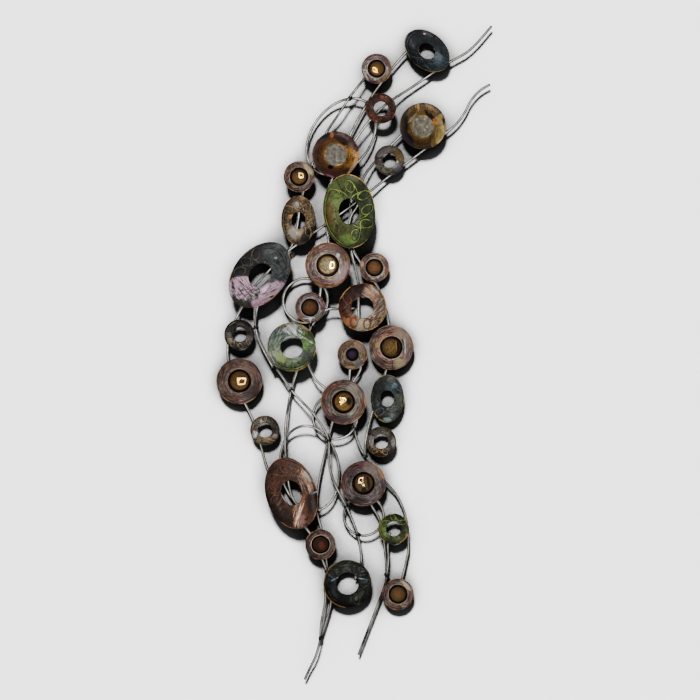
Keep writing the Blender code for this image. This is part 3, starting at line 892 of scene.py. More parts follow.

# %% [markdown]
# ## Effects shared by the plates
# Torch colour drifts over a plate in large soft areas, with cloudy mottling and a fine grain on top. On
# the real plates it is heat and dye under lacquer. One group blends four colours, one for each quarter,
# over borders that noise pushes about. The other groups lay a dab of dye, ground scratches, an embossed
# line with a painted shadow beside it and a worn rim over it. Some dabs, and the colour of some
# scratches, are painted highlights and painted reflections. Image textures could hold all this, but
# groups stay sharp at any size.

# %% Group: torch patina
QUARTERS = ["Upper Left", "Upper Right", "Lower Left", "Lower Right"]


def patina_group():
    """Four corner colours blended over pushed borders, times mottling, specks and thin dark veins."""
    inputs = {"Place": "Vector", "Seed": "Float", "Mottle": "Float", **dict.fromkeys(QUARTERS, "Color")}
    tree, given, result = open_group("torch_patina", inputs, {"Color": "Color", "Grain": "Float"})
    place, seed = given["Place"], given["Seed"]
    drift = noise(tree, place, 1.7, 4.0, seed, "Color")
    drift = vector_calc(tree, "SUBTRACT", drift, (0.5, 0.5, 0.5))
    pushed = vector_calc(tree, "ADD", place, vector_calc(tree, "MULTIPLY", drift, (1.7, 0, 1.7)))
    parts = add_node(tree, "SeparateXYZ", {0: pushed}).outputs
    right, up = ramp(tree, parts["X"], -0.35, 0.35), ramp(tree, parts["Z"], -0.35, 0.35)
    upper = mixed(tree, right, given["Upper Left"], given["Upper Right"])
    lower = mixed(tree, right, given["Lower Left"], given["Lower Right"])
    colour = mixed(tree, up, lower, upper)
    cloud = noise(tree, place, 5.0, 8.0, seed, rough=0.66)
    speck = noise(tree, place, 26.0, 2.0, seed)
    grain = calc(tree, "MULTIPLY_ADD", cloud, 0.66, calc(tree, "MULTIPLY", speck, 0.34))
    low = calc(tree, "SUBTRACT", 1.0, given["Mottle"])
    high = calc(tree, "ADD", 1.0, given["Mottle"])
    colour = brightened(tree, colour, ramp(tree, grain, 0.36, 0.64, low, high))
    vein = calc(tree, "ABSOLUTE", calc(tree, "SUBTRACT", noise(tree, pushed, 3.2, 6.0, seed), 0.5))
    vein = ramp(tree, vein, 0.03, 0.0)
    tree.links.new(darkened(tree, colour, vein, 0.6), result["Color"])
    tree.links.new(calc(tree, "MULTIPLY_ADD", vein, -0.35, grain), result["Grain"])
    return tree


PATINA = patina_group()
print("torch patina:", len(PATINA.nodes), "nodes")

# %% Group: dab of dye, also used for painted highlights and reflections
def dab_group():
    """An oval spot turned by Turn: the distance from At, over the half sizes, is under 1 inside it.
    Noise makes the border ragged, and Soft is how wide it is."""
    inputs = {"Place": "Vector", "At": "Vector", "Half": "Vector"}
    inputs.update(dict.fromkeys(["Turn", "Soft", "Seed"], "Float"))
    tree, given, result = open_group("dab_of_dye", inputs, {"Mask": "Float"})
    offset = turned(tree, vector_calc(tree, "SUBTRACT", given["Place"], given["At"]), given["Turn"])
    out = vector_calc(tree, "LENGTH", vector_calc(tree, "DIVIDE", offset, given["Half"]), output="Value")
    cloud = noise(tree, given["Place"], 5.0, 6.0, given["Seed"])
    out = swayed(tree, out, cloud, calc(tree, "MULTIPLY_ADD", given["Soft"], 1.8, 0.35))
    start, stop = calc(tree, "ADD", 1.0, given["Soft"]), calc(tree, "SUBTRACT", 1.0, given["Soft"])
    tree.links.new(ramp(tree, out, start, stop), result["Mask"])
    return tree


DAB = dab_group()


def dab(tree, place, x, z, wide, high, degrees, soft, seed):
    """How far a dab covers the plate: its middle, half width, half height, turn and softness."""
    values = {"Place": place, "At": (x, 0, z), "Half": (wide, 1, high), "Turn": math.radians(degrees)}
    return use_group(tree, DAB, {**values, "Soft": soft, "Seed": seed})["Mask"]


def dabbed(tree, place, colour, dabs, seed, share=1.0):
    """The colour with every dab (x, z, half width, half height, degrees, softness, colour) laid over it."""
    for *spot, dye in dabs:
        mask = dab(tree, place, *spot, seed + 3 * spot[0] + spot[1])
        colour = mixed(tree, calc(tree, "MULTIPLY", mask, share), colour, tone(*dye))
    return colour


print("dab of dye:", len(DAB.nodes), "nodes")

# %% Group: ground scratches
def scratch_group():
    """Ground lines: noise stretched along the direction Turn, then sharpened. Fine is how many lines
    fit across half a plate."""
    inputs = {"Place": "Vector", **dict.fromkeys(["Turn", "Seed", "Fine"], "Float")}
    tree, given, result = open_group("ground_scratches", inputs, {"Lines": "Float"})
    place, seed = given["Place"], given["Seed"]
    bend = vector_calc(tree, "MULTIPLY", noise(tree, place, 1.5, 1.0, seed, "Color"), (0, 0, 0.25))
    bent = vector_calc(tree, "ADD", turned(tree, place, given["Turn"]), bend)
    stretched = vector_calc(tree, "MULTIPLY", bent, (0.11, 1, 1))
    lines = noise(tree, stretched, given["Fine"], 3.0, seed, rough=0.6)
    tree.links.new(ramp(tree, lines, 0.50, 0.58), result["Lines"])
    return tree


SCRATCHES = scratch_group()
SCRATCH_MM = 1.8
PATCH_SOFTNESS = 0.4


def ground_patches(tree, place, size, patches, seed, spread):
    """How far each patch's lines cover the plate, and their colour, from (x, z, half width, half height,
    direction in degrees, colour). Size is half the plate's length in mm, and spread is how far the noise
    moves on from one patch to the next."""
    for x, z, wide, high, degrees, bright in patches:
        area = dab(tree, place, x, z, wide, high, 0.0, PATCH_SOFTNESS, seed - spread * z)
        values = {"Place": place, "Turn": math.radians(degrees), "Seed": seed + spread * z + degrees}
        lines = use_group(tree, SCRATCHES, {**values, "Fine": size / SCRATCH_MM})["Lines"]
        yield calc(tree, "MULTIPLY", lines, area), tone(*bright)


print("ground scratches:", len(SCRATCHES.nodes), "nodes")

# %% Group: embossed line
def raised_line_group():
    """An embossed line: bright on its back, where noise has not worn it away, and dark beside it as a
    painted shadow. Near is the distance from its middle in half line widths."""
    inputs = {"Near": "Float", "Place": "Vector", "Color": "Color", "Line": "Color"}
    tree, given, result = open_group("embossed_line", inputs, {"Color": "Color"})
    # painted shadow: the colour is darkened beside the raised line
    darker = darkened(tree, given["Color"], ramp(tree, given["Near"], 3.4, 1.2), 0.6)
    patchy = ramp(tree, noise(tree, given["Place"], 4.0, 4.0, 7.0), 0.36, 0.62, 0.3, 1.0)
    back = calc(tree, "MULTIPLY", ramp(tree, given["Near"], 1.25, 0.45), patchy)
    tree.links.new(mixed(tree, back, darker, given["Line"]), result["Color"])
    return tree


RAISED_LINE = raised_line_group()
print("embossed line:", len(RAISED_LINE.nodes), "nodes")

# %% Group: worn rim
def rim_group():
    """Wear at a cut edge: bare metal where the distance to the rim, pushed by noise, is under Width,
    with a dark line just inside it."""
    inputs = {"Rim": "Float", "Place": "Vector", "Color": "Color", "Metal": "Color"}
    inputs.update(dict.fromkeys(["Width", "Seed"], "Float"))
    tree, given, result = open_group("worn_rim", inputs, {"Color": "Color"})
    rough_edge = noise(tree, given["Place"], 2.0, 4.0, given["Seed"])
    width = calc(tree, "MULTIPLY", given["Width"], ramp(tree, rough_edge, 0.44, 0.60, 0.05, 1.9))
    near = calc(tree, "DIVIDE", given["Rim"], width)
    inner = calc(tree, "MULTIPLY", ramp(tree, given["Rim"], 3.6, 1.4), ramp(tree, given["Rim"], 0.2, 1.0))
    darker = darkened(tree, given["Color"], inner, 0.35)
    tree.links.new(mixed(tree, ramp(tree, near, 1.0, 0.6), darker, given["Metal"]), result["Color"])
    return tree


WORN_RIM = rim_group()


def worn(tree, place, colour, metal, width, seed):
    """The colour with its rim worn down to the metal over about width mm."""
    values = {"Rim": mark(tree, "rim"), "Place": place, "Color": colour, "Metal": metal}
    return use_group(tree, WORN_RIM, {**values, "Width": width, "Seed": seed * 1.3})["Color"]


print("worn rim:", len(WORN_RIM.nodes), "nodes in the last of", len(bpy.data.node_groups), "groups")

# %% Start a material and join its sockets
COAT_ROUGHNESS = 0.12


def open_material(name, metallic, lacquer):
    """A new material with a bare Principled shader: the material, its tree and the shader."""
    material = bpy.data.materials.new(name)
    material.use_nodes = True
    tree = material.node_tree
    shader = tree.nodes["Principled BSDF"]
    shader.inputs["Metallic"].default_value = metallic
    shader.inputs["Coat Weight"].default_value = lacquer
    shader.inputs["Coat Roughness"].default_value = COAT_ROUGHNESS
    return material, tree, shader


def finish(tree, shader, colour, roughness=None, height=None, strength=0.0, depth=0.0):
    """Joins to the shader what varies over the surface: its colour, its roughness and a bump's height."""
    sockets = {"Base Color": colour, "Roughness": roughness}
    if height is not None:
        values = {"Height": height, "Strength": strength, "Distance": depth}
        sockets["Normal"] = add_node(tree, "Bump", values).outputs[0]
    for socket, output in sockets.items():
        if output is not None:
            tree.links.new(output, shader.inputs[socket])


def plate_place(tree, shape):
    """Place on a plate: 0 at its middle and 1 at the end of its long axis, with depth left out."""
    size = 1 / float(shape["outer"].max())
    x, z = shape["centre"]
    location = (-float(x) * size, 0, -float(z) * size)
    values = {"Vector": object_place(tree), "Location": location, "Scale": (size, 0, size)}
    return add_node(tree, "Mapping", values).outputs[0]


def wear(piece, material):
    """Puts the material on the piece in place of any other."""
    piece.data.materials.clear()
    piece.data.materials.append(material)


# %% [markdown]
# ## Ring plates, one finish each
# No two ring plates match, so each has a row: four quarter colours, the colour of its embossed lines and
# its rim, its dabs of dye, and where a grinder has left scratches. Some dabs, and the colour of some
# scratches, are painted highlights and painted reflections, as marked in the rows. The rows hold the
# maker's choices, and one function turns a row into a material. Places run from -1 to 1 across the
# plate's long axis.

# %% Each ring plate's row
# corners: upper left, upper right, lower left, lower right
# dabs: (x, z, half width, half height, degrees, softness, colour)
# scratches: (x, z, half width, half height, direction of the lines in degrees, colour)
# some rows add: mottle, how far the quarters are mottled, and lacquer, how thick the clear coat is
WHITE, CREAM, LILAC = (255, 255, 252), (255, 240, 212), (255, 202, 228)
RING_FINISHES = {
    "oval_ring_blue": {
        "corners": [(34, 36, 37), (34, 38, 40), (40, 44, 46), (40, 48, 52)],
        "line": (70, 82, 88),
        "rim": (132, 118, 84),
        "dabs": [
            (-0.55, 0.3, 0.26, 0.3, 0, 0.4, (34, 40, 50)), (0.42, -0.4, 0.28, 0.24, 40, 0.35, (44, 58, 66)),
            # painted highlight: the small pale pink glint near the top
            (-0.1, 0.66, 0.05, 0.03, 0, 0.1, (244, 190, 206)),
        ],
        "scratches": [(0.3, -0.45, 0.45, 0.35, 20, (74, 90, 98)), (-0.5, 0.1, 0.3, 0.4, 70, (14, 17, 20))],
    },
    "oval_ring_green": {
        "mottle": 0.25,
        "corners": [(98, 106, 54), (58, 66, 36), (100, 104, 54), (62, 72, 38)],
        "line": (174, 194, 82),
        "rim": (204, 164, 84),
        "dabs": [
            (-0.52, -0.02, 0.1, 0.42, 0, 0.3, (120, 96, 44)), (0.48, 0.05, 0.14, 0.5, 0, 0.3, (44, 60, 32)),
            (-0.3, 0.28, 0.14, 0.2, 20, 0.3, (122, 152, 74)),
            (-0.05, -0.75, 0.2, 0.14, 0, 0.3, (116, 144, 70)),
        ],
        "scratches": [(-0.35, 0.4, 0.4, 0.4, 60, (140, 158, 96)), (0.4, -0.6, 0.3, 0.3, 30, (60, 70, 38))],
    },
    "oval_ring_tan": {
        "mottle": 0.25,
        "corners": [(100, 78, 50), (124, 99, 66), (140, 118, 86), (84, 64, 44)],
        "line": (176, 150, 110),
        "rim": (176, 128, 72),
        "dabs": [
            (-0.22, -0.5, 0.2, 0.24, 20, 0.4, (196, 186, 168)),
            (0.36, -0.56, 0.2, 0.36, -34, 0.06, (38, 25, 20)),
            (-0.1, 0.62, 0.12, 0.12, 0, 0.4, (190, 182, 168)),
            (-0.3, 0.16, 0.1, 0.08, 0, 0.3, (230, 166, 94)), (0.4, 0.3, 0.1, 0.3, 10, 0.3, (158, 128, 86)),
        ],
        "scratches": [(-0.6, 0.0, 0.3, 0.6, 10, (50, 32, 18)), (0.35, 0.35, 0.3, 0.4, 70, (64, 44, 26))],
    },
    "oval_ring_charcoal": {
        "mottle": 0.25,
        "corners": [(40, 40, 41), (62, 66, 68), (78, 70, 70), (88, 80, 84)],
        "line": (104, 98, 86),
        "rim": (186, 146, 84),
        "dabs": [
            (-0.48, -0.34, 0.42, 0.3, 0, 0.12, LILAC), (0.26, -0.54, 0.56, 0.28, 35, 0.12, LILAC),
            (-0.3, -0.6, 0.16, 0.035, 35, 0.2, WHITE), (-0.2, -0.52, 0.03, 0.12, 20, 0.2, WHITE),
            (-0.5, -0.8, 0.36, 0.15, -25, 0.15, (66, 61, 50)),
            (-0.7, -0.44, 0.05, 0.3, 8, 0.3, (58, 44, 54)),
            (-0.07, -0.5, 0.06, 0.16, -20, 0.3, (50, 42, 48)),
            (0.4, 0.3, 0.26, 0.34, 20, 0.4, (78, 82, 78)),
            # painted highlight: a small white-blue glint at the upper right
            (0.42, 0.46, 0.045, 0.035, 0, 0.3, (210, 226, 240)),
            (-0.1, 0.56, 0.3, 0.1, -20, 0.4, (58, 50, 48)),
        ],
        "scratches": [
            (0.34, -0.48, 0.42, 0.2, 32, WHITE), (0.2, -0.58, 0.6, 0.28, 32, (84, 36, 62)),
            (-0.4, -0.44, 0.34, 0.26, -58, WHITE), (-0.5, -0.34, 0.44, 0.36, -52, (70, 34, 56)),
            (-0.3, -0.5, 0.3, 0.2, 35, (64, 34, 52)), (0.45, 0.2, 0.4, 0.5, 48, (104, 112, 110)),
            (0.45, 0.2, 0.4, 0.5, -42, (34, 36, 38)), (-0.5, 0.45, 0.4, 0.3, 40, (14, 13, 14)),
        ],
    },
    "oval_ring_teal": {
        "corners": [(50, 54, 50), (60, 64, 60), (60, 64, 60), (64, 66, 58)],
        "line": (112, 126, 120),
        "rim": (170, 142, 66),
        "dabs": [
            (0.3, 0.52, 0.14, 0.1, 30, 0.35, (96, 124, 132)), (0.5, 0.3, 0.12, 0.14, 20, 0.3, (18, 24, 36)),
            (0.0, -0.88, 0.16, 0.1, 0, 0.3, (138, 162, 156)), (0.5, 0.0, 0.12, 0.2, 0, 0.3, (78, 82, 62)),
        ],
        "scratches": [(0.25, 0.4, 0.3, 0.3, -40, (92, 116, 122)), (-0.4, -0.1, 0.3, 0.7, 85, (28, 33, 32))],
    },
    "oval_ring_bronze": {
        "mottle": 0.22,
        "corners": [(82, 51, 37), (110, 70, 52), (66, 44, 34), (96, 58, 42)],
        "line": (150, 92, 62),
        "rim": (180, 124, 76),
        "dabs": [
            # painted highlights: the white, cream and pale streaks at the upper right, the right edge and
            # the bottom, with a soft pale and orange glow round them
            (0.42, 0.42, 0.11, 0.32, 32, 0.5, (184, 140, 114)), (0.45, 0.46, 0.05, 0.17, 32, 0.3, WHITE),
            (0.64, 0.02, 0.12, 0.02, 30, 0.15, WHITE), (0.2, -0.55, 0.06, 0.42, -18, 0.5, (176, 104, 70)),
            (0.18, -0.6, 0.016, 0.34, -14, 0.15, WHITE), (0.25, -0.5, 0.012, 0.3, -22, 0.15, CREAM),
            (-0.4, -0.4, 0.2, 0.44, 32, 0.4, (42, 25, 21)), (0.58, -0.26, 0.16, 0.34, 0, 0.3, (48, 27, 21)),
        ],
        "scratches": [
            # the pale ground lines at the upper right and the bottom are real lines whose brightness is
            # painted highlight
            (0.42, 0.4, 0.2, 0.34, -70, (236, 206, 180)), (0.15, -0.6, 0.1, 0.34, 75, (240, 196, 160)),
            (-0.3, 0.1, 0.3, 0.6, 60, (120, 74, 54)),
        ],
    },
    "round_ring_copper": {
        "mottle": 0.22,
        "corners": [(62, 37, 30), (140, 92, 62), (168, 100, 62), (176, 138, 106)],
        "line": (156, 98, 68),
        "rim": (222, 176, 104),
        "dabs": [
            (-0.62, 0.1, 0.3, 0.5, 0, 0.25, (76, 40, 32)), (-0.05, 0.72, 0.32, 0.2, 0, 0.25, (44, 27, 25)),
            (-0.5, -0.6, 0.3, 0.26, -35, 0.2, (228, 142, 88)),
            (-0.62, -0.4, 0.2, 0.07, -20, 0.3, (96, 46, 30)),
            # painted highlights: the cream and white wedge at the bottom and the thin white streak at the
            # upper right
            (0.02, -0.76, 0.32, 0.24, 0, 0.5, (255, 222, 178)), (-0.22, -0.72, 0.05, 0.28, 4, 0.3, WHITE),
            (-0.06, -0.9, 0.2, 0.05, 5, 0.3, CREAM), (0.34, 0.66, 0.24, 0.2, -34, 0.6, (186, 140, 108)),
            (0.5, 0.72, 0.24, 0.025, -42, 0.3, WHITE), (0.7, 0.06, 0.2, 0.34, 0, 0.3, (98, 80, 68)),
            (0.97, 0.06, 0.04, 0.26, 4, 0.2, (240, 196, 120)),
        ],
        "scratches": [
            # the cream ground lines at the lower and upper right are real lines whose brightness is painted
            # highlight
            (0.5, -0.5, 0.5, 0.5, 42, (246, 216, 184)), (0.5, -0.4, 0.5, 0.5, 42, (84, 62, 50)),
            (0.7, 0.1, 0.3, 0.4, 44, (186, 160, 138)), (0.35, 0.6, 0.3, 0.3, -40, (232, 196, 166)),
            (-0.45, -0.6, 0.35, 0.3, 35, (240, 180, 130)),
        ],
    },
    "round_ring_sage": {
        "mottle": 0.22,
        "corners": [(108, 122, 110), (104, 122, 88), (132, 150, 108), (94, 104, 82)],
        "line": (150, 172, 96),
        "rim": (206, 162, 66),
        "dabs": [
            (0.68, 0.42, 0.2, 0.34, 40, 0.25, (74, 92, 44)),
            (-0.45, -0.42, 0.26, 0.24, 0, 0.35, (160, 180, 110)),
            (0.56, 0.1, 0.14, 0.24, 10, 0.4, (120, 166, 92)),
            # painted highlights: the white and near-white streaks across the top and at the lower left
            (-0.02, 0.8, 0.22, 0.1, -40, 0.4, (216, 222, 216)),
            (0.6, -0.45, 0.25, 0.3, 0, 0.4, (80, 86, 76)), (0.12, 0.62, 0.42, 0.06, -44, 0.15, WHITE),
            (0.62, 0.3, 0.42, 0.03, -32, 0.1, WHITE), (0.2, 0.74, 0.36, 0.02, -36, 0.1, WHITE),
            (-0.82, -0.42, 0.3, 0.024, -62, 0.15, WHITE), (-0.7, -0.34, 0.16, 0.018, -56, 0.15, WHITE),
        ],
        "scratches": [
            # the white and near-white ground lines are real lines whose brightness is painted highlight
            (0.1, 0.7, 0.5, 0.24, -40, WHITE), (-0.1, 0.8, 0.3, 0.2, 40, WHITE),
            (-0.75, -0.35, 0.2, 0.5, -62, (222, 230, 214)), (-0.55, 0.3, 0.5, 0.5, 60, (190, 204, 192)),
            (0.1, -0.7, 0.7, 0.3, 80, (84, 100, 66)),
        ],
    },
    "round_ring_black": {
        "lacquer": 0.08,
        "corners": [(60, 64, 56), (36, 38, 36), (3, 3, 4), (18, 18, 14)],
        "line": (66, 70, 54),
        "rim": (150, 122, 66),
        "dabs": [
            # painted reflections: the blue patches and the pale blue-grey streaks on the left and the right
            (-0.6, 0.14, 0.16, 0.06, -14, 0.4, (34, 62, 76)),
            (-0.5, 0.2, 0.2, 0.028, 26, 0.2, (150, 174, 178)),
            (-0.72, 0.34, 0.16, 0.02, -40, 0.2, (110, 128, 128)),
            (0.66, 0.08, 0.16, 0.07, 8, 0.4, (44, 60, 68)),
            (0.7, 0.18, 0.22, 0.026, -8, 0.2, (170, 190, 188)), (-0.1, -0.75, 0.6, 0.18, 0, 0.4, (7, 7, 8)),
            (0.5, -0.5, 0.1, 0.26, -40, 0.15, (58, 63, 42)),
        ],
        "scratches": [(0.1, 0.6, 0.7, 0.3, 15, (104, 110, 98)), (-0.5, -0.3, 0.4, 0.4, -30, (26, 29, 29))],
    },
    "small_ring_copper": {
        "corners": [(86, 60, 49), (76, 43, 34), (142, 86, 66), (92, 58, 49)],
        "line": (150, 88, 68),
        "rim": (128, 86, 56),
        "dabs": [
            (0.14, 0.66, 0.28, 0.14, -48, 0.25, (138, 70, 52)),
            (-0.6, 0.1, 0.24, 0.5, 0, 0.3, (76, 52, 43)), (-0.5, -0.52, 0.3, 0.2, -45, 0.3, (146, 76, 54)),
            # painted highlight: the small pale pink glint near the bottom
            (-0.3, -0.84, 0.08, 0.06, 0, 0.2, (244, 200, 190)),
        ],
        "scratches": [
            (0.0, 0.0, 1.0, 1.0, 55, (120, 70, 56)), (0.2, 0.1, 1.0, 1.0, -35, (40, 22, 20)),
            (-0.5, -0.5, 0.4, 0.3, 20, (176, 104, 84)),
        ],
    },
    "small_ring_grey": {
        "corners": [(84, 76, 73), (90, 73, 50), (140, 130, 114), (98, 90, 82)],
        "line": (150, 138, 112),
        "rim": (92, 80, 62),
        "dabs": [
            (-0.4, 0.58, 0.56, 0.26, 35, 0.08, (112, 101, 99)),
            (0.66, 0.36, 0.3, 0.5, -20, 0.15, (98, 76, 44)),
            (0.56, -0.5, 0.32, 0.24, 40, 0.12, (106, 102, 108)),
            (-0.5, 0.2, 0.36, 0.06, 14, 0.08, (14, 11, 10)),
            (0.5, -0.08, 0.08, 0.08, 0, 0.2, (236, 232, 226)),
        ],
        "scratches": [(0.7, 0.3, 0.3, 0.5, 60, (150, 120, 76)), (-0.3, -0.6, 0.5, 0.3, 0, (140, 132, 112))],
    },
    "small_ring_black": {
        "corners": [(52, 45, 40), (34, 27, 20), (90, 80, 68), (88, 76, 64)],
        "line": (190, 176, 142),
        "rim": (30, 26, 22),
        "dabs": [
            (-0.76, 0.12, 0.22, 0.3, 0, 0.3, (118, 106, 106)),
            (-0.62, -0.45, 0.2, 0.16, -45, 0.3, (150, 134, 106)),
            (0.62, -0.3, 0.22, 0.24, 0, 0.35, (104, 96, 96)), (-0.3, 0.6, 0.14, 0.12, 0, 0.2, (12, 10, 9)),
            (0.2, -0.5, 0.2, 0.1, 20, 0.2, (14, 11, 10)),
        ],
        "scratches": [(-0.75, 0.1, 0.35, 0.4, 5, (20, 16, 16)), (0.5, 0.4, 0.5, 0.5, 40, (62, 52, 38))],
    },
    "small_ring_olive": {
        "corners": [(128, 118, 102), (78, 68, 53), (142, 128, 110), (66, 55, 42)],
        "line": (226, 204, 172),
        "rim": (110, 92, 66),
        "dabs": [
            (-0.7, -0.28, 0.2, 0.24, 0, 0.25, (250, 246, 238)),
            (0.68, -0.4, 0.18, 0.15, 20, 0.3, (156, 146, 130)),
            (0.64, 0.06, 0.24, 0.14, 0, 0.3, (36, 27, 20)),
            (0.2, -0.66, 0.4, 0.12, -10, 0.5, (112, 88, 58)),
        ],
        "scratches": [
            (-0.7, -0.3, 0.3, 0.4, 80, (88, 78, 68)), (0.1, -0.7, 0.6, 0.25, -15, (178, 150, 112)),
        ],
    },
    "small_ring_khaki": {
        "corners": [(102, 95, 84), (70, 62, 49), (108, 94, 76), (66, 56, 45)],
        "line": (206, 160, 100),
        "rim": (84, 68, 46),
        "dabs": [
            (-0.68, 0.04, 0.26, 0.34, 0, 0.2, (140, 131, 124)),
            (-0.16, -0.74, 0.5, 0.2, 0, 0.4, (66, 44, 24)),
            (0.8, -0.08, 0.14, 0.3, 0, 0.5, (150, 146, 138)),
            (-0.64, 0.48, 0.34, 0.04, -26, 0.1, (10, 8, 7)),
            (-0.46, 0.04, 0.03, 0.26, 0, 0.2, (24, 18, 16)),
        ],
        "scratches": [
            (-0.65, 0.2, 0.3, 0.3, 80, (188, 182, 174)), (0.3, 0.6, 0.6, 0.4, 25, (126, 112, 84)),
        ],
    },
    "small_ring_moss": {
        "corners": [(76, 90, 46), (46, 53, 28), (54, 62, 34), (74, 82, 40)],
        "line": (150, 178, 76),
        "rim": (186, 150, 84),
        "dabs": [
            (-0.86, 0.05, 0.16, 0.3, 0, 0.3, (166, 152, 88)),
            (0.88, -0.42, 0.08, 0.16, -30, 0.3, (224, 178, 92)), (0.5, 0.1, 0.1, 0.16, 0, 0.3, (14, 18, 8)),
            (-0.4, 0.5, 0.16, 0.12, 40, 0.3, (20, 28, 10)), (-0.55, -0.2, 0.2, 0.3, 0, 0.4, (104, 136, 66)),
        ],
        "scratches": [(-0.6, -0.3, 0.4, 0.4, -45, (134, 156, 84)), (0.6, 0.3, 0.4, 0.5, 80, (48, 60, 28))],
    },
}
print(sum(len(row["dabs"]) for row in RING_FINISHES.values()), "dabs on the ring plates")

# %% Turn a row into a ring plate's patina
# a factor on the seed moves each plate's noise to a place of its own
def ring_material(name, row, seed):
    """Patina, then dabs, scratches, embossed lines with a painted shadow beside them and a worn rim, each
    laid over the last.
    """
    lacquer = row.get("lacquer", 0.25)
    material, tree, shader = open_material(name + "_patina", metallic=0.75, lacquer=lacquer)
    place = plate_place(tree, PLATES[name])
    size = float(PLATES[name]["outer"].max()) / MM
    values = {"Place": place, "Seed": seed * 3.7, "Mottle": row.get("mottle", 0.45)}
    values.update(zip(QUARTERS, (tone(*colour) for colour in row["corners"])))
    patina = use_group(tree, PATINA, values)
    grain = patina["Grain"]
    colour = brightened(tree, patina["Color"], ramp(tree, grain, 0.40, 0.60, 0.72, 1.12))
    colour = dabbed(tree, place, colour, row["dabs"], seed)
    colour = brightened(tree, colour, ramp(tree, grain, 0.38, 0.62, 0.85, 1.12))
    height = calc(tree, "MULTIPLY", grain, 0.8)
    for cover, bright in ground_patches(tree, place, size, row["scratches"], seed, 1):
        colour = mixed(tree, calc(tree, "MULTIPLY", cover, 0.95), colour, bright)
        height = calc(tree, "MULTIPLY_ADD", cover, 0.7, height)
    values = {"Near": mark(tree, "near"), "Place": place, "Color": colour, "Line": tone(*row["line"])}
    colour = use_group(tree, RAISED_LINE, values)["Color"]
    colour = worn(tree, place, colour, tone(*row["rim"]), 1.3, seed)
    finish(tree, shader, colour, ramp(tree, grain, 0.3, 0.7, 0.26, 0.46), height, 0.6, 0.0007)
    return material


for seed, name in enumerate(RING_NAMES):
    wear(FINISHED[name], ring_material(name, RING_FINISHES[name], seed))
print(len(RING_NAMES), "ring finishes")
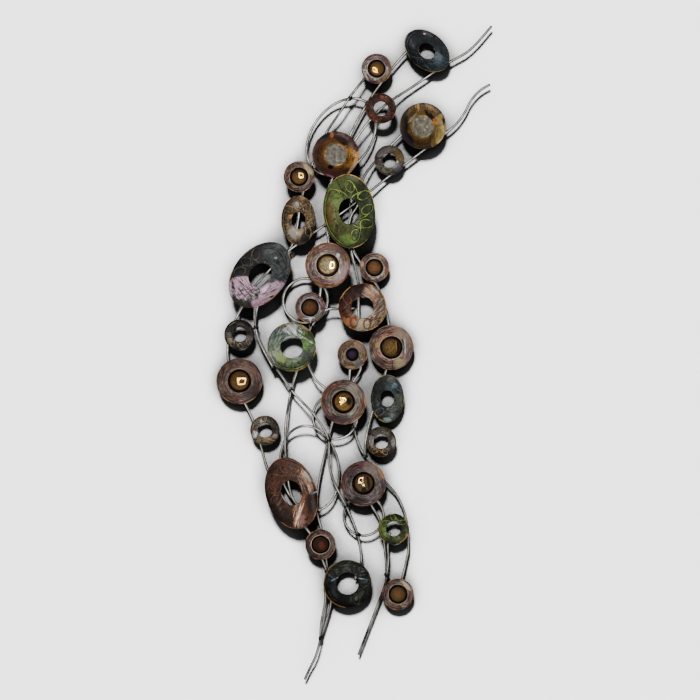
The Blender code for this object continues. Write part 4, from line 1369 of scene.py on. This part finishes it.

# %% [markdown]
# ## Eye plates: temper colours and a lacquered seat
# Heated metal shows temper colours in a fixed order outwards from the flame. Here they run from the seat
# through grey, mauve and taupe to brown, and the spinning tool has drawn them into arcs. The pale ring by
# the seat, along the bead, is a painted highlight.
# So the place in that order is the way out from the seat, pushed about by a noise that reads the rings
# far more strongly than the direction. The seat under the cap is nearly black.

# %% Each eye plate's row
# ring: the pale ring round the seat, a painted highlight along the bead; bands: five temper colours from the
# seat to the rim
# dabs as for the rings; cap: (middle, foot, roughness)
# some rows add: cap_dabs, dabs on the cap, and fringe, the tone near its edge
AMBER, DEEP_GOLD, INK = (146, 110, 48), (118, 88, 38), (14, 11, 22)
BURNT, UMBER = (132, 66, 20), (98, 64, 32)
SATIN = 0.2
EYE_FINISHES = {
    "small_eye_top": {
        "ring": (206, 204, 210),
        "bands": [(170, 158, 146), (112, 88, 94), (158, 132, 130), (100, 74, 74), (132, 102, 92)],
        "dabs": [
            (0.5, -0.55, 0.4, 0.26, 40, 0.4, (140, 112, 72)), (0.5, 0.5, 0.4, 0.3, -40, 0.4, (88, 64, 58)),
            # painted highlight: white and pale yellow flare streaks beside the cap's lower left
            (-0.76, -0.1, 0.3, 0.05, -12, 0.1, WHITE), (-0.7, -0.5, 0.36, 0.07, -62, 0.1, WHITE),
            (-0.6, -0.26, 0.12, 0.08, 0, 0.2, (255, 226, 130)),
        ],
        "cap": ((130, 94, 38), INK, 0.05),
    },
    "small_eye_upper_left": {
        "ring": (176, 166, 150),
        "bands": [(122, 110, 98), (100, 76, 70), (126, 100, 86), (88, 64, 60), (112, 84, 72)],
        "dabs": [(0.6, 0.52, 0.2, 0.44, 42, 0.35, (240, 212, 164))],
        "cap": (DEEP_GOLD, INK, 0.03),
    },
    "big_eye_upper": {
        "ring": (236, 206, 170),
        "bands": [(176, 154, 140), (134, 130, 120), (122, 96, 88), (160, 126, 122), (140, 98, 80)],
        "dabs": [
            (0.6, -0.35, 0.2, 0.5, -30, 0.45, (176, 150, 146)),
            # painted highlights: the two small white dabs at the upper right and the right
            (0.4, 0.6, 0.42, 0.26, -34, 0.4, (104, 82, 74)), (0.45, 0.42, 0.08, 0.1, 0, 0.2, WHITE),
            (0.5, -0.2, 0.03, 0.16, 10, 0.2, WHITE),
        ],
        "cap": ((212, 190, 136), (70, 34, 14), 0.06),
    },
    "small_eye_right": {
        "ring": (222, 214, 200),
        "bands": [(168, 150, 132), (126, 100, 92), (112, 86, 82), (150, 118, 98), (120, 92, 80)],
        "dabs": [
            # painted highlight: the pale pink-orange glint on the left
            (-0.8, 0.26, 0.12, 0.2, 0, 0.3, (255, 204, 172)),
            (0.5, 0.7, 0.3, 0.12, -30, 0.4, (176, 142, 108)),
        ],
        "cap": ((140, 100, 62), INK, 0.55),
    },
    "small_eye_centre": {
        "ring": (206, 204, 206),
        "bands": [(150, 134, 130), (98, 74, 76), (132, 104, 98), (92, 68, 68), (120, 94, 84)],
        "dabs": [
            (0.5, -0.6, 0.36, 0.24, 30, 0.2, (98, 92, 74)),
            # painted highlight: the three white dabs at the bottom make a small star
            (-0.5, -0.5, 0.36, 0.26, -40, 0.4, (156, 122, 112)), (0.02, -0.74, 0.11, 0.1, 0, 0.1, WHITE),
            (-0.1, -0.70, 0.4, 0.04, 5, 0.1, WHITE), (0.03, -0.76, 0.05, 0.28, 0, 0.1, WHITE),
        ],
        "cap": ((114, 76, 46), INK, 0.55),
    },
    "small_eye_middle": {
        "ring": (150, 142, 124),
        "bands": [(132, 112, 88), (146, 122, 96), (108, 86, 76), (142, 116, 96), (122, 96, 78)],
        "dabs": [
            (0.4, -0.62, 0.36, 0.22, 35, 0.06, (74, 86, 92)),
            (-0.84, -0.25, 0.1, 0.24, 20, 0.1, (58, 62, 60)),
            (-0.15, -0.86, 0.34, 0.1, 0, 0.2, (196, 158, 114)),
            (0.5, 0.45, 0.36, 0.3, -40, 0.4, (158, 130, 110)),
        ],
        "cap": ((62, 44, 62), (14, 18, 52), 0.5),
        "fringe": (30, 30, 78),
    },
    "big_eye_right": {
        "ring": (214, 206, 190),
        "bands": [(170, 138, 116), (148, 104, 88), (104, 80, 84), (142, 120, 100), (108, 80, 72)],
        "dabs": [
            (0.38, -0.72, 0.28, 0.2, -30, 0.2, (160, 148, 104)),
            (0.5, 0.5, 0.4, 0.26, -42, 0.6, (172, 146, 122)),
            (0.7, -0.2, 0.12, 0.4, -14, 0.5, (150, 124, 104)),
            (0.6, 0.06, 0.05, 0.32, 4, 0.2, (214, 222, 226)), (0.5, 0.05, 0.1, 0.32, 4, 0.12, (30, 12, 28)),
            (-0.4, 0.4, 0.34, 0.07, 42, 0.2, (204, 146, 104)),
            (0.05, -0.76, 0.022, 0.22, 0, 0.1, (30, 20, 20)),
            (0.74, -0.3, 0.06, 0.3, -20, 0.5, (104, 74, 88)),
            (-0.5, -0.6, 0.3, 0.14, -40, 0.4, (86, 60, 60)),
        ],
        "cap": ((124, 96, 50), (34, 16, 24), 0.5),
        "cap_dabs": [
            (0.4, 0.02, 0.19, 0.6, 0, 0.1, (40, 12, 26)), (0.22, 0.1, 0.02, 0.26, 4, 0.1, (214, 164, 84)),
        ],
    },
    "big_eye_left": {
        "ring": (140, 122, 104),
        "bands": [(124, 104, 92), (88, 68, 62), (112, 88, 78), (74, 54, 52), (102, 76, 66)],
        "dabs": [
            (0.4, 0.4, 0.34, 0.24, -30, 0.45, (134, 104, 86)), (0.5, -0.5, 0.4, 0.3, 40, 0.4, (60, 44, 40)),
        ],
        "cap": (DEEP_GOLD, INK, 0.03),
    },
    "big_eye_middle": {
        "ring": (144, 134, 120),
        "bands": [(134, 124, 112), (92, 76, 72), (130, 116, 104), (98, 80, 78), (124, 90, 76)],
        "dabs": [
            (0.95, 0.12, 0.035, 0.36, 4, 0.3, (255, 186, 130)),
            (-0.05, -0.74, 0.55, 0.16, 0, 0.45, (66, 54, 54)),
            (0.5, 0.45, 0.36, 0.24, -40, 0.6, (158, 146, 132)),
        ],
        "cap": (AMBER, INK, 0.03),
        # painted reflection: the dark patch right of the cap's middle
        "cap_dabs": [(0.25, 0.02, 0.12, 0.18, 0, 0.3, (24, 14, 10))],
    },
    "big_eye_lower": {
        "ring": (132, 118, 106),
        "bands": [(116, 110, 98), (86, 76, 74), (116, 98, 100), (82, 62, 64), (108, 80, 72)],
        "dabs": [
            (0.4, 0.5, 0.4, 0.28, -36, 0.4, (132, 118, 104)),
            (0.8, 0.42, 0.06, 0.3, 30, 0.3, (214, 150, 92)),
            (-0.15, -0.76, 0.5, 0.14, 0, 0.4, (48, 40, 38)),
        ],
        "cap": ((104, 82, 46), INK, 0.03),
        "cap_dabs": [
            (0.02, -0.36, 0.12, 0.2, 0, 0.1, (14, 10, 8)), (0.22, 0.05, 0.05, 0.4, 8, 0.2, (40, 26, 14)),
        ],
    },
    "small_eye_lower": {
        "ring": (244, 226, 196),
        "bands": [(112, 88, 78), (78, 56, 52), (102, 76, 66), (64, 46, 44), (94, 68, 60)],
        "dabs": [
            (-0.55, -0.5, 0.36, 0.3, 0, 0.5, (50, 38, 34)),
            (0.78, 0.1, 0.14, 0.34, 0, 0.45, (116, 104, 102)),
        ],
        "cap": ((62, 36, 26), (18, 10, 14), 0.5),
        "cap_dabs": [(0.1, -0.1, 0.2, 0.3, 20, 0.4, (104, 58, 34))],
    },
    "small_eye_bottom": {
        "ring": (190, 182, 166),
        "bands": [(122, 100, 88), (100, 76, 70), (124, 98, 88), (90, 66, 62), (118, 86, 74)],
        "dabs": [
            (0.52, 0.56, 0.12, 0.46, 44, 0.3, (226, 202, 160)),
            (0.68, 0.64, 0.04, 0.4, 44, 0.1, (40, 40, 46)),
        ],
        "cap": ((126, 94, 54), INK, 0.55),
    },
}
print(sum(len(row["dabs"]) for row in EYE_FINISHES.values()), "dabs on the eye plates")

# %% Group: heat bands
def band_group():
    """Five colours in order. The place in the order is Out, from 0 at the seat to 1 at the rim, plus a
    broad and a fine noise over (the count of rings, a little of the direction), whose cells are long
    arcs. Every broad groove is darkened at its bottom as painted shade, and finer light and dark arcs
    are drawn over it."""
    inputs = {"Place": "Vector", **dict.fromkeys(["Ring", "Out", "Seed"], "Float")}
    inputs.update(dict.fromkeys("ABCDE", "Color"))
    tree, given, result = open_group("heat_bands", inputs, {"Color": "Color", "Band": "Float"})
    way = vector_calc(tree, "NORMALIZE", given["Place"])
    ring = add_node(tree, "CombineXYZ", {"Y": given["Ring"]}).outputs[0]

    def arcs(turns, rings, detail):
        """Noise over the direction times turns and the count of rings times rings."""
        spot = vector_calc(tree, "MULTIPLY", vector_calc(tree, "ADD", way, ring), (turns, rings, turns))
        return noise(tree, spot, 1.0, detail, given["Seed"])

    # fine arcs that brighten and darken the bands
    broad, fine, light_and_dark_arcs = arcs(0.7, 0.5, 1.0), arcs(1.1, 1.5, 2.0), arcs(4.0, 4.5, 2.0)
    order = swayed(tree, swayed(tree, given["Out"], broad, 2.2), fine, 1.3)
    colour = given["A"]
    for letter, start in zip("BCDE", (0.10, 0.32, 0.56, 0.80)):
        colour = mixed(tree, ramp(tree, order, start - 0.05, start + 0.05), colour, given[letter])
    turn = calc(tree, "MULTIPLY", given["Ring"], math.pi)
    # painted shade: each broad groove is darkened at its bottom
    groove = ramp(tree, calc(tree, "ABSOLUTE", calc(tree, "SINE", turn)), 0.5, 0.0)
    cloud = noise(tree, given["Place"], 4.0, 6.0, given["Seed"])
    shade = calc(tree, "MULTIPLY_ADD", groove, -0.45, ramp(tree, cloud, 0.35, 0.65, 0.8, 1.25))
    shade = calc(tree, "MULTIPLY", shade, ramp(tree, light_and_dark_arcs, 0.40, 0.60, 0.42, 1.58))
    sheen = arcs(1.6, 2.2, 1.0)
    values = {"Hue": ramp(tree, sheen, 0.34, 0.66, 0.46, 0.545), "Color": colour, "Value": shade}
    values["Saturation"] = ramp(tree, fine, 0.36, 0.64, 0.8, 1.4)
    tree.links.new(add_node(tree, "HueSaturation", values).outputs[0], result["Color"])
    tree.links.new(light_and_dark_arcs, result["Band"])
    return tree


HEAT_BANDS = band_group()
print("heat bands:", len(HEAT_BANDS.nodes), "nodes")

# %% Turn a row into an eye plate's and a cap's lacquer
EYE_RIM, SEAT_LACQUER = (184, 140, 100), (10, 10, 26)


def eye_material(name, row, seed):
    """Heat bands, then dabs, the pale ring, a painted highlight along the bead, the dark seat and a worn
    rim, each over the last. The numbers added to seat are mm past the edge of the cap."""
    material, tree, shader = open_material(name + "_heat_bands", metallic=0.7, lacquer=0.3)
    place, radius = plate_place(tree, PLATES[name]), mark(tree, "radius")
    seat, rim = dome_radius(name) / MM, float(PLATES[name]["outer"][0]) / MM
    out = add_node(tree, "MapRange", {"Value": radius, "From Min": seat + 3, "From Max": rim}).outputs[0]
    values = {"Place": place, "Ring": mark(tree, "band"), "Out": out, "Seed": seed * 2.3}
    values.update(zip("ABCDE", (tone(*colour) for colour in row["bands"])))
    bands = use_group(tree, HEAT_BANDS, values)
    band = bands["Band"]
    colour = dabbed(tree, place, bands["Color"], row["dabs"], seed, share=0.78)
    colour = brightened(tree, colour, ramp(tree, band, 0.38, 0.62, 0.72, 1.22))
    uneven = swayed(tree, radius, noise(tree, place, 3.0, 3.0, seed), 2.4)
    inner, outer = ramp(tree, uneven, seat + 1.5, seat + 2.0), ramp(tree, uneven, seat + 3.0, seat + 2.2)
    # painted highlight: the pale ring along the bead round the seat
    pale = calc(tree, "MULTIPLY", calc(tree, "MULTIPLY", inner, outer), 0.9)
    colour = mixed(tree, pale, colour, tone(*row["ring"]))
    colour = mixed(tree, ramp(tree, uneven, seat + 2.1, seat + 1.3), colour, tone(*SEAT_LACQUER))
    colour = worn(tree, place, colour, tone(*EYE_RIM), 1.1, seed)
    finish(tree, shader, colour, ramp(tree, band, 0.3, 0.7, 0.28, 0.44), band, 0.4, 0.0004)
    return material


def is_polished(row):
    """Whether a cap's roughness is low enough for it to mirror the lights."""
    return row["cap"][2] < SATIN


def cap_material(name, row, seed):
    """Lacquered metal: speckled, with dabs, brighter in the middle and darker towards the edge as painted
    shade, then burnt orange and the foot's tone at the edge, which is partly painted shade too.
    """
    middle, foot, gloss = row["cap"]
    coat, coat_roughness, bump = (0.35, 0.0, 0.03) if is_polished(row) else (0.1, 0.4, 0.3)
    fringe = row.get("fringe", BURNT if is_polished(row) else UMBER)
    material, tree, shader = open_material(name + "_cap_lacquer", metallic=0.8, lacquer=coat)
    shader.inputs["Coat Roughness"].default_value = coat_roughness
    place = plate_place(tree, PLATES[name])
    speck = noise(tree, place, 16.0, 5.0, seed * 1.9, rough=0.6)
    out = swayed(tree, mark(tree, "out"), speck, 0.3)
    colour = brightened(tree, tone(*middle), ramp(tree, speck, 0.36, 0.64, 0.42, 1.75))
    colour = dabbed(tree, place, colour, row.get("cap_dabs", []), seed)
    # painted shade: the cap is brighter in its middle and darker towards its edge
    colour = brightened(tree, colour, ramp(tree, out, 0.1, 0.8, 1.2, 0.75))
    colour = mixed(tree, ramp(tree, out, 0.70, 0.84, 0.0, 0.75), colour, tone(*fringe))
    # the dark foot at the very edge is partly the cap's own tone and partly painted shade
    colour = mixed(tree, ramp(tree, out, 0.84, 0.93), colour, tone(*foot))
    finish(tree, shader, colour, ramp(tree, speck, 0.2, 0.8, gloss, gloss * 1.6), speck, bump, 0.0003)
    return material


for seed, name in enumerate(EYE_NAMES):
    wear(FINISHED[name], eye_material(name, EYE_FINISHES[name], seed))
    wear(FINISHED[name + "_dome"], cap_material(name, EYE_FINISHES[name], seed))
print(len(EYE_NAMES), "eye finishes")

# %% [markdown]
# ## Bowls
# The bowls are scorched from the back. The flat middle stays bare and grey, and round it the colour runs
# through a ragged gold edge, amber and rust to a dark purple-brown rim. Dabs and scratches come on top.

# %% Each bowl's row
# wall: from the flat middle to the rim
BOWL_FINISHES = {
    "bowl_right": {
        "wall": [(206, 170, 104), (142, 108, 58), (114, 84, 48), (62, 42, 32)],
        "middle": (126, 118, 102),
        "dabs": [
            (-0.8, 0.1, 0.16, 0.6, 0, 0.3, (48, 34, 27)),
            (0.97, -0.12, 0.62, 0.66, 0, 0.05, (160, 130, 66)),
            (0.95, -0.42, 0.5, 0.46, 0, 0.12, (216, 184, 104)),
            (0.42, -0.5, 0.1, 0.44, 0, 0.06, (146, 120, 62)),
            (0.3, 0.46, 0.38, 0.1, -46, 0.25, (44, 24, 20)),
            (0.5, 0.2, 0.05, 0.16, 20, 0.25, (206, 112, 36)),
            (-0.66, -0.56, 0.2, 0.36, 36, 0.25, (52, 38, 54)),
            (-0.44, 0.36, 0.24, 0.06, 48, 0.3, (250, 230, 186)),
            (0.9, 0.14, 0.05, 0.26, 10, 0.35, (18, 12, 10)),
            (-0.24, 0.8, 0.1, 0.2, 8, 0.04, (214, 170, 96)), (-0.36, 0.8, 0.02, 0.2, 8, 0.1, (30, 20, 12)),
            (0.31, -0.4, 0.018, 0.5, 0, 0.06, (24, 18, 12)),
        ],
        "scratches": [(0.0, 0.75, 0.8, 0.2, 85, (150, 116, 62)), (0.7, -0.3, 0.3, 0.6, 88, (178, 150, 84))],
        "rim": (110, 84, 58),
    },
    "bowl_left": {
        "wall": [(214, 160, 88), (142, 92, 52), (94, 56, 40), (64, 40, 34)],
        "middle": (128, 121, 108),
        "dabs": [
            (0.6, -0.14, 0.28, 0.42, 0, 0.35, (206, 150, 68)),
            (0.9, -0.16, 0.1, 0.34, -20, 0.3, (255, 184, 92)),
            (0.34, 0.66, 0.46, 0.2, -30, 0.3, (64, 38, 28)), (0.84, 0.3, 0.1, 0.14, 20, 0.3, (60, 34, 18)),
            (-0.42, 0.82, 0.3, 0.09, 24, 0.25, (16, 10, 8)),
            (-0.16, 0.84, 0.07, 0.14, -10, 0.2, (176, 102, 40)),
            (-0.2, -0.5, 0.14, 0.1, 0, 0.3, (34, 20, 14)),
            (0.74, -0.52, 0.05, 0.4, -36, 0.15, (206, 160, 122)),
            (-0.25, -0.9, 0.18, 0.03, -20, 0.2, (222, 110, 176)),
        ],
        "scratches": [(0.6, 0.0, 0.3, 0.4, 85, (130, 78, 28))],
        "rim": (150, 98, 58),
    },
}
print(sum(len(row["dabs"]) for row in BOWL_FINISHES.values()), "dabs on the bowls")

# %% Turn a row into a scorched bowl
def bowl_material(name, row, seed):
    """The wall's four tones in order outwards, dabs, the bare middle over a ragged edge, and the rim."""
    material, tree, shader = open_material(name + "_scorch", metallic=0.65, lacquer=0.3)
    shape = PLATES[name]
    place = plate_place(tree, shape)
    flat, rim = float(shape["inner"][0]) / MM, float(shape["outer"][0]) / MM
    cloud, speck = noise(tree, place, 3.8, 9.0, seed * 5.1, rough=0.7), noise(tree, place, 20.0, 3.0, seed)
    grain = calc(tree, "MULTIPLY_ADD", cloud, 0.6, calc(tree, "MULTIPLY", speck, 0.4))
    radius = swayed(tree, mark(tree, "radius"), cloud, 26.0)
    first, *others = row["wall"]
    colour = tone(*first)
    for share, dye in zip((0.16, 0.48, 0.8), others):
        edge = flat + (rim - flat) * share
        colour = mixed(tree, ramp(tree, radius, edge - 3, edge + 3), colour, tone(*dye))
    colour = dabbed(tree, place, colour, row["dabs"], seed)
    for cover, bright in ground_patches(tree, place, rim, row["scratches"], seed, 0):
        colour = mixed(tree, cover, colour, bright)
    colour = brightened(tree, colour, ramp(tree, grain, 0.40, 0.60, 0.42, 1.55))
    mill = noise(tree, place, 7.0, 6.0, seed * 2.1, rough=0.72)
    bare = brightened(tree, tone(*row["middle"]), ramp(tree, mill, 0.40, 0.60, 0.55, 1.42))
    bare = mixed(tree, ramp(tree, mill, 0.60, 0.64), bare, tone(236, 230, 216))
    ragged = swayed(tree, mark(tree, "radius"), cloud, 20.0)
    colour = mixed(tree, ramp(tree, ragged, flat + 1.2, flat + 0.2), colour, bare)
    colour = worn(tree, place, colour, tone(*row["rim"]), 1.0, seed)
    finish(tree, shader, colour, ramp(tree, radius, flat, flat + 3, 0.5, 0.26), grain, 0.8, 0.0009)
    return material


for seed, name in enumerate(BOWL_NAMES):
    wear(FINISHED[name], bowl_material(name, BOWL_FINISHES[name], seed))
print(len(BOWL_NAMES), "bowl finishes")

# %% [markdown]
# ## Wires, welds and hangers
# The wires are drawn steel under a thin clear coat. The front is brightened as a painted highlight and the
# sides are darkened as painted shade, by the mark of how much the surface faces outwards. Mill scale keeps
# some patches dark, noise places the scale, and soot marks the welds. The weld beads are dark, rough
# scale. The hangers are zinc-coated strip, whose spangles are the cells of a fine cell pattern.

# %% Steel finishes
def wire_material():
    """Pale and grey steel mixed by a noise, with a painted highlight in front and painted shade on the
    sides, dark under scale and where there's soot.
    """
    material, tree, shader = open_material("drawn_steel_wire", metallic=0.9, lacquer=0.1)
    place = object_place(tree)
    drawn, fine = noise(tree, place, 60.0, 4.0), noise(tree, place, 700.0, 3.0)
    colour = mixed(tree, ramp(tree, drawn, 0.35, 0.65), tone(216, 213, 204), tone(150, 146, 137))
    colour = brightened(tree, colour, ramp(tree, fine, 0.3, 0.7, 0.8, 1.12))
    # painted highlight where the wire faces the room or the wall, painted shade on its sides
    colour = brightened(tree, colour, ramp(tree, mark(tree, "facing"), 0.93, 0.68, 1.15, 0.03))
    scale = ramp(tree, noise(tree, place, 11.0, 2.0, 4.0), 0.60, 0.68)
    dark = calc(tree, "MAXIMUM", mark(tree, "soot"), calc(tree, "MULTIPLY", scale, 0.9))
    colour = mixed(tree, dark, colour, tone(26, 24, 24))
    finish(tree, shader, colour, ramp(tree, drawn, 0.3, 0.7, 0.2, 0.32), fine, 0.2, 0.0002)
    return material


def weld_material():
    """Black and brown scale, mixed by a lumpy noise that is also the bump."""
    material, tree, shader = open_material("weld_scale", metallic=0.6, lacquer=0.15)
    shader.inputs["Roughness"].default_value = 0.5
    lump = noise(tree, object_place(tree), 260.0, 4.0)
    colour = mixed(tree, ramp(tree, lump, 0.4, 0.65), tone(14, 13, 13), tone(60, 52, 48))
    finish(tree, shader, colour, height=lump, strength=0.6, depth=0.0006)
    return material


def strip_material():
    """Two greys, mixed by each cell's own random number, which is its roughness as well."""
    material, tree, shader = open_material("zinc_strip", metallic=0.9, lacquer=0.0)
    spangle = add_node(tree, "TexVoronoi", {"Vector": object_place(tree), "Scale": 260.0}).outputs["Color"]
    grey = add_node(tree, "SeparateColor", {0: spangle}).outputs[0]
    colour = mixed(tree, grey, tone(120, 122, 126), tone(162, 164, 166))
    finish(tree, shader, colour, ramp(tree, grey, 0.0, 1.0, 0.32, 0.5))
    return material


WIRE_FINISH, WELD_FINISH, STRIP_FINISH = wire_material(), weld_material(), strip_material()
for piece in WIRES.values():
    wear(piece, WIRE_FINISH)
for piece in (WELDS, TACKS):
    wear(piece, WELD_FINISH)
for name in HANGER_NAMES:
    for slot in NODES[name].material_slots:
        slot.material = STRIP_FINISH
print(len(bpy.data.materials), "materials")

# %% [markdown]
# ## The studio
# The sculpture hangs on a plain pale wall, over a pale floor. One strong sun that reaches only the wall and
# the floor makes them white and throws the soft shadow. Close to the metal the paint is darkened too, a
# painted shadow that keeps the shadow nearly black. The metal takes its shine from large soft panels and
# from a small window frame of four strips, which the glossy caps mirror. Two panels behind the wall light
# the sculpture's back for a look from there, and the wall doesn't block them.

# %% Wall and floor
LOW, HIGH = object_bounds()
WALL_GAP, FLOOR_DROP = 0.0005, 0.22
WALL_Y, FLOOR_Z = HIGH[1] + WALL_GAP, LOW[2] - FLOOR_DROP
SPAN, TOP, FRONT = 6.0, 5.0, -9.0
SHADE_REACH, SHADE_SIDE = 0.06, (-0.12, -0.88, 0.46)
PALE_PAINT, PAINTED_SHADOW_TONE = (0.12, 0.12, 0.12, 1), (0.010, 0.010, 0.010, 1)
STUDIO = bpy.data.collections.new("studio")


def backdrop_material():
    """Pale paint with a painted shadow: dark where something near hides the side the light comes from, and
    clear from behind.
    """
    material = bpy.data.materials.new("pale_paint")
    material.use_nodes = True
    tree = material.node_tree
    shader = tree.nodes["Principled BSDF"]
    values = {"Color": (1, 1, 1, 1), "Distance": SHADE_REACH, "Normal": SHADE_SIDE}
    # painted shadow: the paint turns dark where ambient occlusion finds metal close by on the side the light
    # comes from
    open_air = add_node(tree, "AmbientOcclusion", values, samples=12).outputs["AO"]
    finish(tree, shader, mixed(tree, ramp(tree, open_air, 0.62, 0.94), PAINTED_SHADOW_TONE, PALE_PAINT))
    shader.inputs["Roughness"].default_value = 1.0
    shader.inputs["Specular IOR Level"].default_value = 0.0
    clear = add_node(tree, "BsdfTransparent").outputs[0]
    behind = add_node(tree, "NewGeometry").outputs["Backfacing"]
    both = add_node(tree, "MixShader", {0: behind, 1: shader.outputs[0], 2: clear})
    tree.links.new(both.outputs[0], tree.nodes["Material Output"].inputs["Surface"])
    return material


PAINT = backdrop_material()


def backdrop(name, start, end):
    """A painted board between two lines across the room, each given by its y and z. The metal neither
    mirrors it nor takes light from it."""
    mesh = bpy.data.meshes.new(name)
    ends = [(-SPAN, start), (SPAN, start), (SPAN, end), (-SPAN, end)]
    mesh.from_pydata([(x, *line) for x, line in ends], [], [range(4)])
    mesh.materials.append(PAINT)
    board = bpy.data.objects.new(name, mesh)
    bpy.context.scene.collection.objects.link(board)
    STUDIO.objects.link(board)
    board.visible_glossy = False
    board.visible_diffuse = False


backdrop("wall", (WALL_Y, FLOOR_Z), (WALL_Y, TOP))
backdrop("floor", (FRONT, FLOOR_Z), (WALL_Y, FLOOR_Z))
print("wall", round(WALL_Y, 4), "floor", round(FLOOR_Z, 4))

# %% Lights
MIDDLE = (np.array(LOW) + np.array(HIGH)) / 2
SUN_PLACE, SUN_POWER, SUN_ANGLE = (-0.12, -1.0, 0.60), 95.0, 0.16


def put_light(kind, name, place, energy, **settings):
    """A light at place, measured from the sculpture's middle, that points at the middle."""
    data = bpy.data.lights.new(name, kind)
    data.energy = energy
    for setting, value in settings.items():
        setattr(data, setting, value)
    light = bpy.data.objects.new(name, data)
    bpy.context.scene.collection.objects.link(light)
    offset = Vector([float(number) for number in place])
    light.location = Vector(MIDDLE.tolist()) + offset
    light.rotation_euler = offset.to_track_quat("Z", "Y").to_euler()
    light.visible_camera = False
    return light


def put_panel(name, place, energy, wide, high, receivers):
    """A soft rectangle of light that falls on the receivers only."""
    panel = put_light("AREA", name, place, energy, shape="RECTANGLE", size=wide, size_y=high)
    panel.light_linking.receiver_collection = receivers
    return panel


def gathered(name, pieces):
    """A collection outside the scene, for a light to fall on."""
    group = bpy.data.collections.new(name)
    for piece in pieces:
        group.objects.link(piece)
    return group


sun = put_light("SUN", "wall_light", SUN_PLACE, SUN_POWER, angle=SUN_ANGLE)
sun.light_linking.receiver_collection = STUDIO
CAP_NAMES = [name + "_dome" for name in EYE_NAMES if is_polished(EYE_FINISHES[name])]
matt = [piece for name, piece in FINISHED.items() if name not in CAP_NAMES]
hangers = [NODES[name] for name in HANGER_NAMES]
MATT_PIECES = gathered("plates_and_welds", [WELDS, TACKS, *hangers, *matt])
STEEL_WIRES = gathered("steel_wires", WIRES.values())
POLISHED_CAPS = gathered("polished_caps", [FINISHED[name] for name in CAP_NAMES])
SCULPTURE = gathered("sculpture", [])
for group in (MATT_PIECES, STEEL_WIRES, POLISHED_CAPS):
    SCULPTURE.children.link(group)
for panel in (
    ("key_panel", (-0.8, -3.0, 1.2), 16.0, 0.9, 0.9, MATT_PIECES),
    ("left_panel", (-2.4, -1.9, -0.2), 8.0, 0.4, 2.0, MATT_PIECES),
    ("right_panel", (1.5, -2.6, 0.5), 6.0, 0.5, 0.9, MATT_PIECES),
    ("low_panel", (-0.7, -2.5, -1.7), 11.0, 1.4, 0.7, MATT_PIECES),
    ("wire_panel", (-0.2, -3.0, 0.5), 22.0, 1.1, 1.1, STEEL_WIRES),
):
    put_panel(*panel)
for side, place in {"left": (-1.8, 2.6, 0.4), "right": (1.6, 2.8, 1.2)}.items():
    panel = put_panel("back_panel_" + side, place, 34.0, 1.4, 1.4, SCULPTURE)
    panel.light_linking.blocker_collection = SCULPTURE
print(len(CAP_NAMES), "polished caps,", len(bpy.data.lights), "lights so far")

# %% A window frame of four strips for the caps to mirror
FRAME_PLACE, FRAME_HALF, STRIP = np.array([0.45, -3.0, 0.75]), 0.64, 0.26
FRAME_POWER, FRAME_COLOUR = 34.0, (1.0, 0.98, 0.74)
for side, (across, up) in {"left": (-1, 0), "right": (1, 0), "top": (0, 1), "bottom": (0, -1)}.items():
    wide, high = (STRIP, 2 * FRAME_HALF + STRIP) if across else (2 * FRAME_HALF - STRIP, STRIP)
    place = FRAME_PLACE + FRAME_HALF * np.array([across, 0.0, up])
    strip = put_panel("frame_" + side, place, FRAME_POWER, wide, high, POLISHED_CAPS)
    strip.rotation_euler = (math.pi / 2, 0, 0)
    strip.visible_diffuse = False
    strip.data.color = FRAME_COLOUR
print("window frame", round(2 * FRAME_HALF + STRIP, 2), "m wide")

# %% The air of the studio
SEEN_GLOW = 2.6
world = bpy.data.worlds.new("studio_air")
bpy.context.scene.world = world
world.use_nodes = True
air = world.node_tree
way = add_node(air, "SeparateXYZ", {0: add_node(air, "TexCoord").outputs["Generated"]}).outputs
# bright in front of the wall and a little dimmer overhead, for the metal to mirror
front = ramp(air, way["Y"], -0.30, -0.80, 0.02, 0.62)
above = ramp(air, way["Z"], -0.7, 0.7, 1.3, 0.75)
glow = calc(air, "MULTIPLY", front, above)
seen = add_node(air, "LightPath").outputs["Is Camera Ray"]
unseen = calc(air, "MULTIPLY", glow, calc(air, "SUBTRACT", 1.0, seen))
background = air.nodes["Background"].inputs
background["Color"].default_value = (1.0, 1.0, 1.0, 1.0)
air.links.new(calc(air, "MULTIPLY_ADD", seen, SEEN_GLOW, unseen), background["Strength"])
print("the air is seen at strength", SEEN_GLOW)

# %% Camera
VIEW_CENTRE_X, VIEW_CENTRE_Z, VIEW_WIDTH = 0.0057, -0.3517, 1.300
LENS = 150.0
FRONT_PLANE = -0.03
camera_data = bpy.data.cameras.new("camera")
camera_data.lens = LENS
camera = bpy.data.objects.new("camera", camera_data)
bpy.context.scene.collection.objects.link(camera)
distance = VIEW_WIDTH * LENS / camera_data.sensor_width
camera.location = (VIEW_CENTRE_X, FRONT_PLANE - distance, VIEW_CENTRE_Z)
camera.rotation_euler = (math.pi / 2, 0, 0)
bpy.context.scene.camera = camera
print("camera", round(distance, 2), "m in front of the plates")
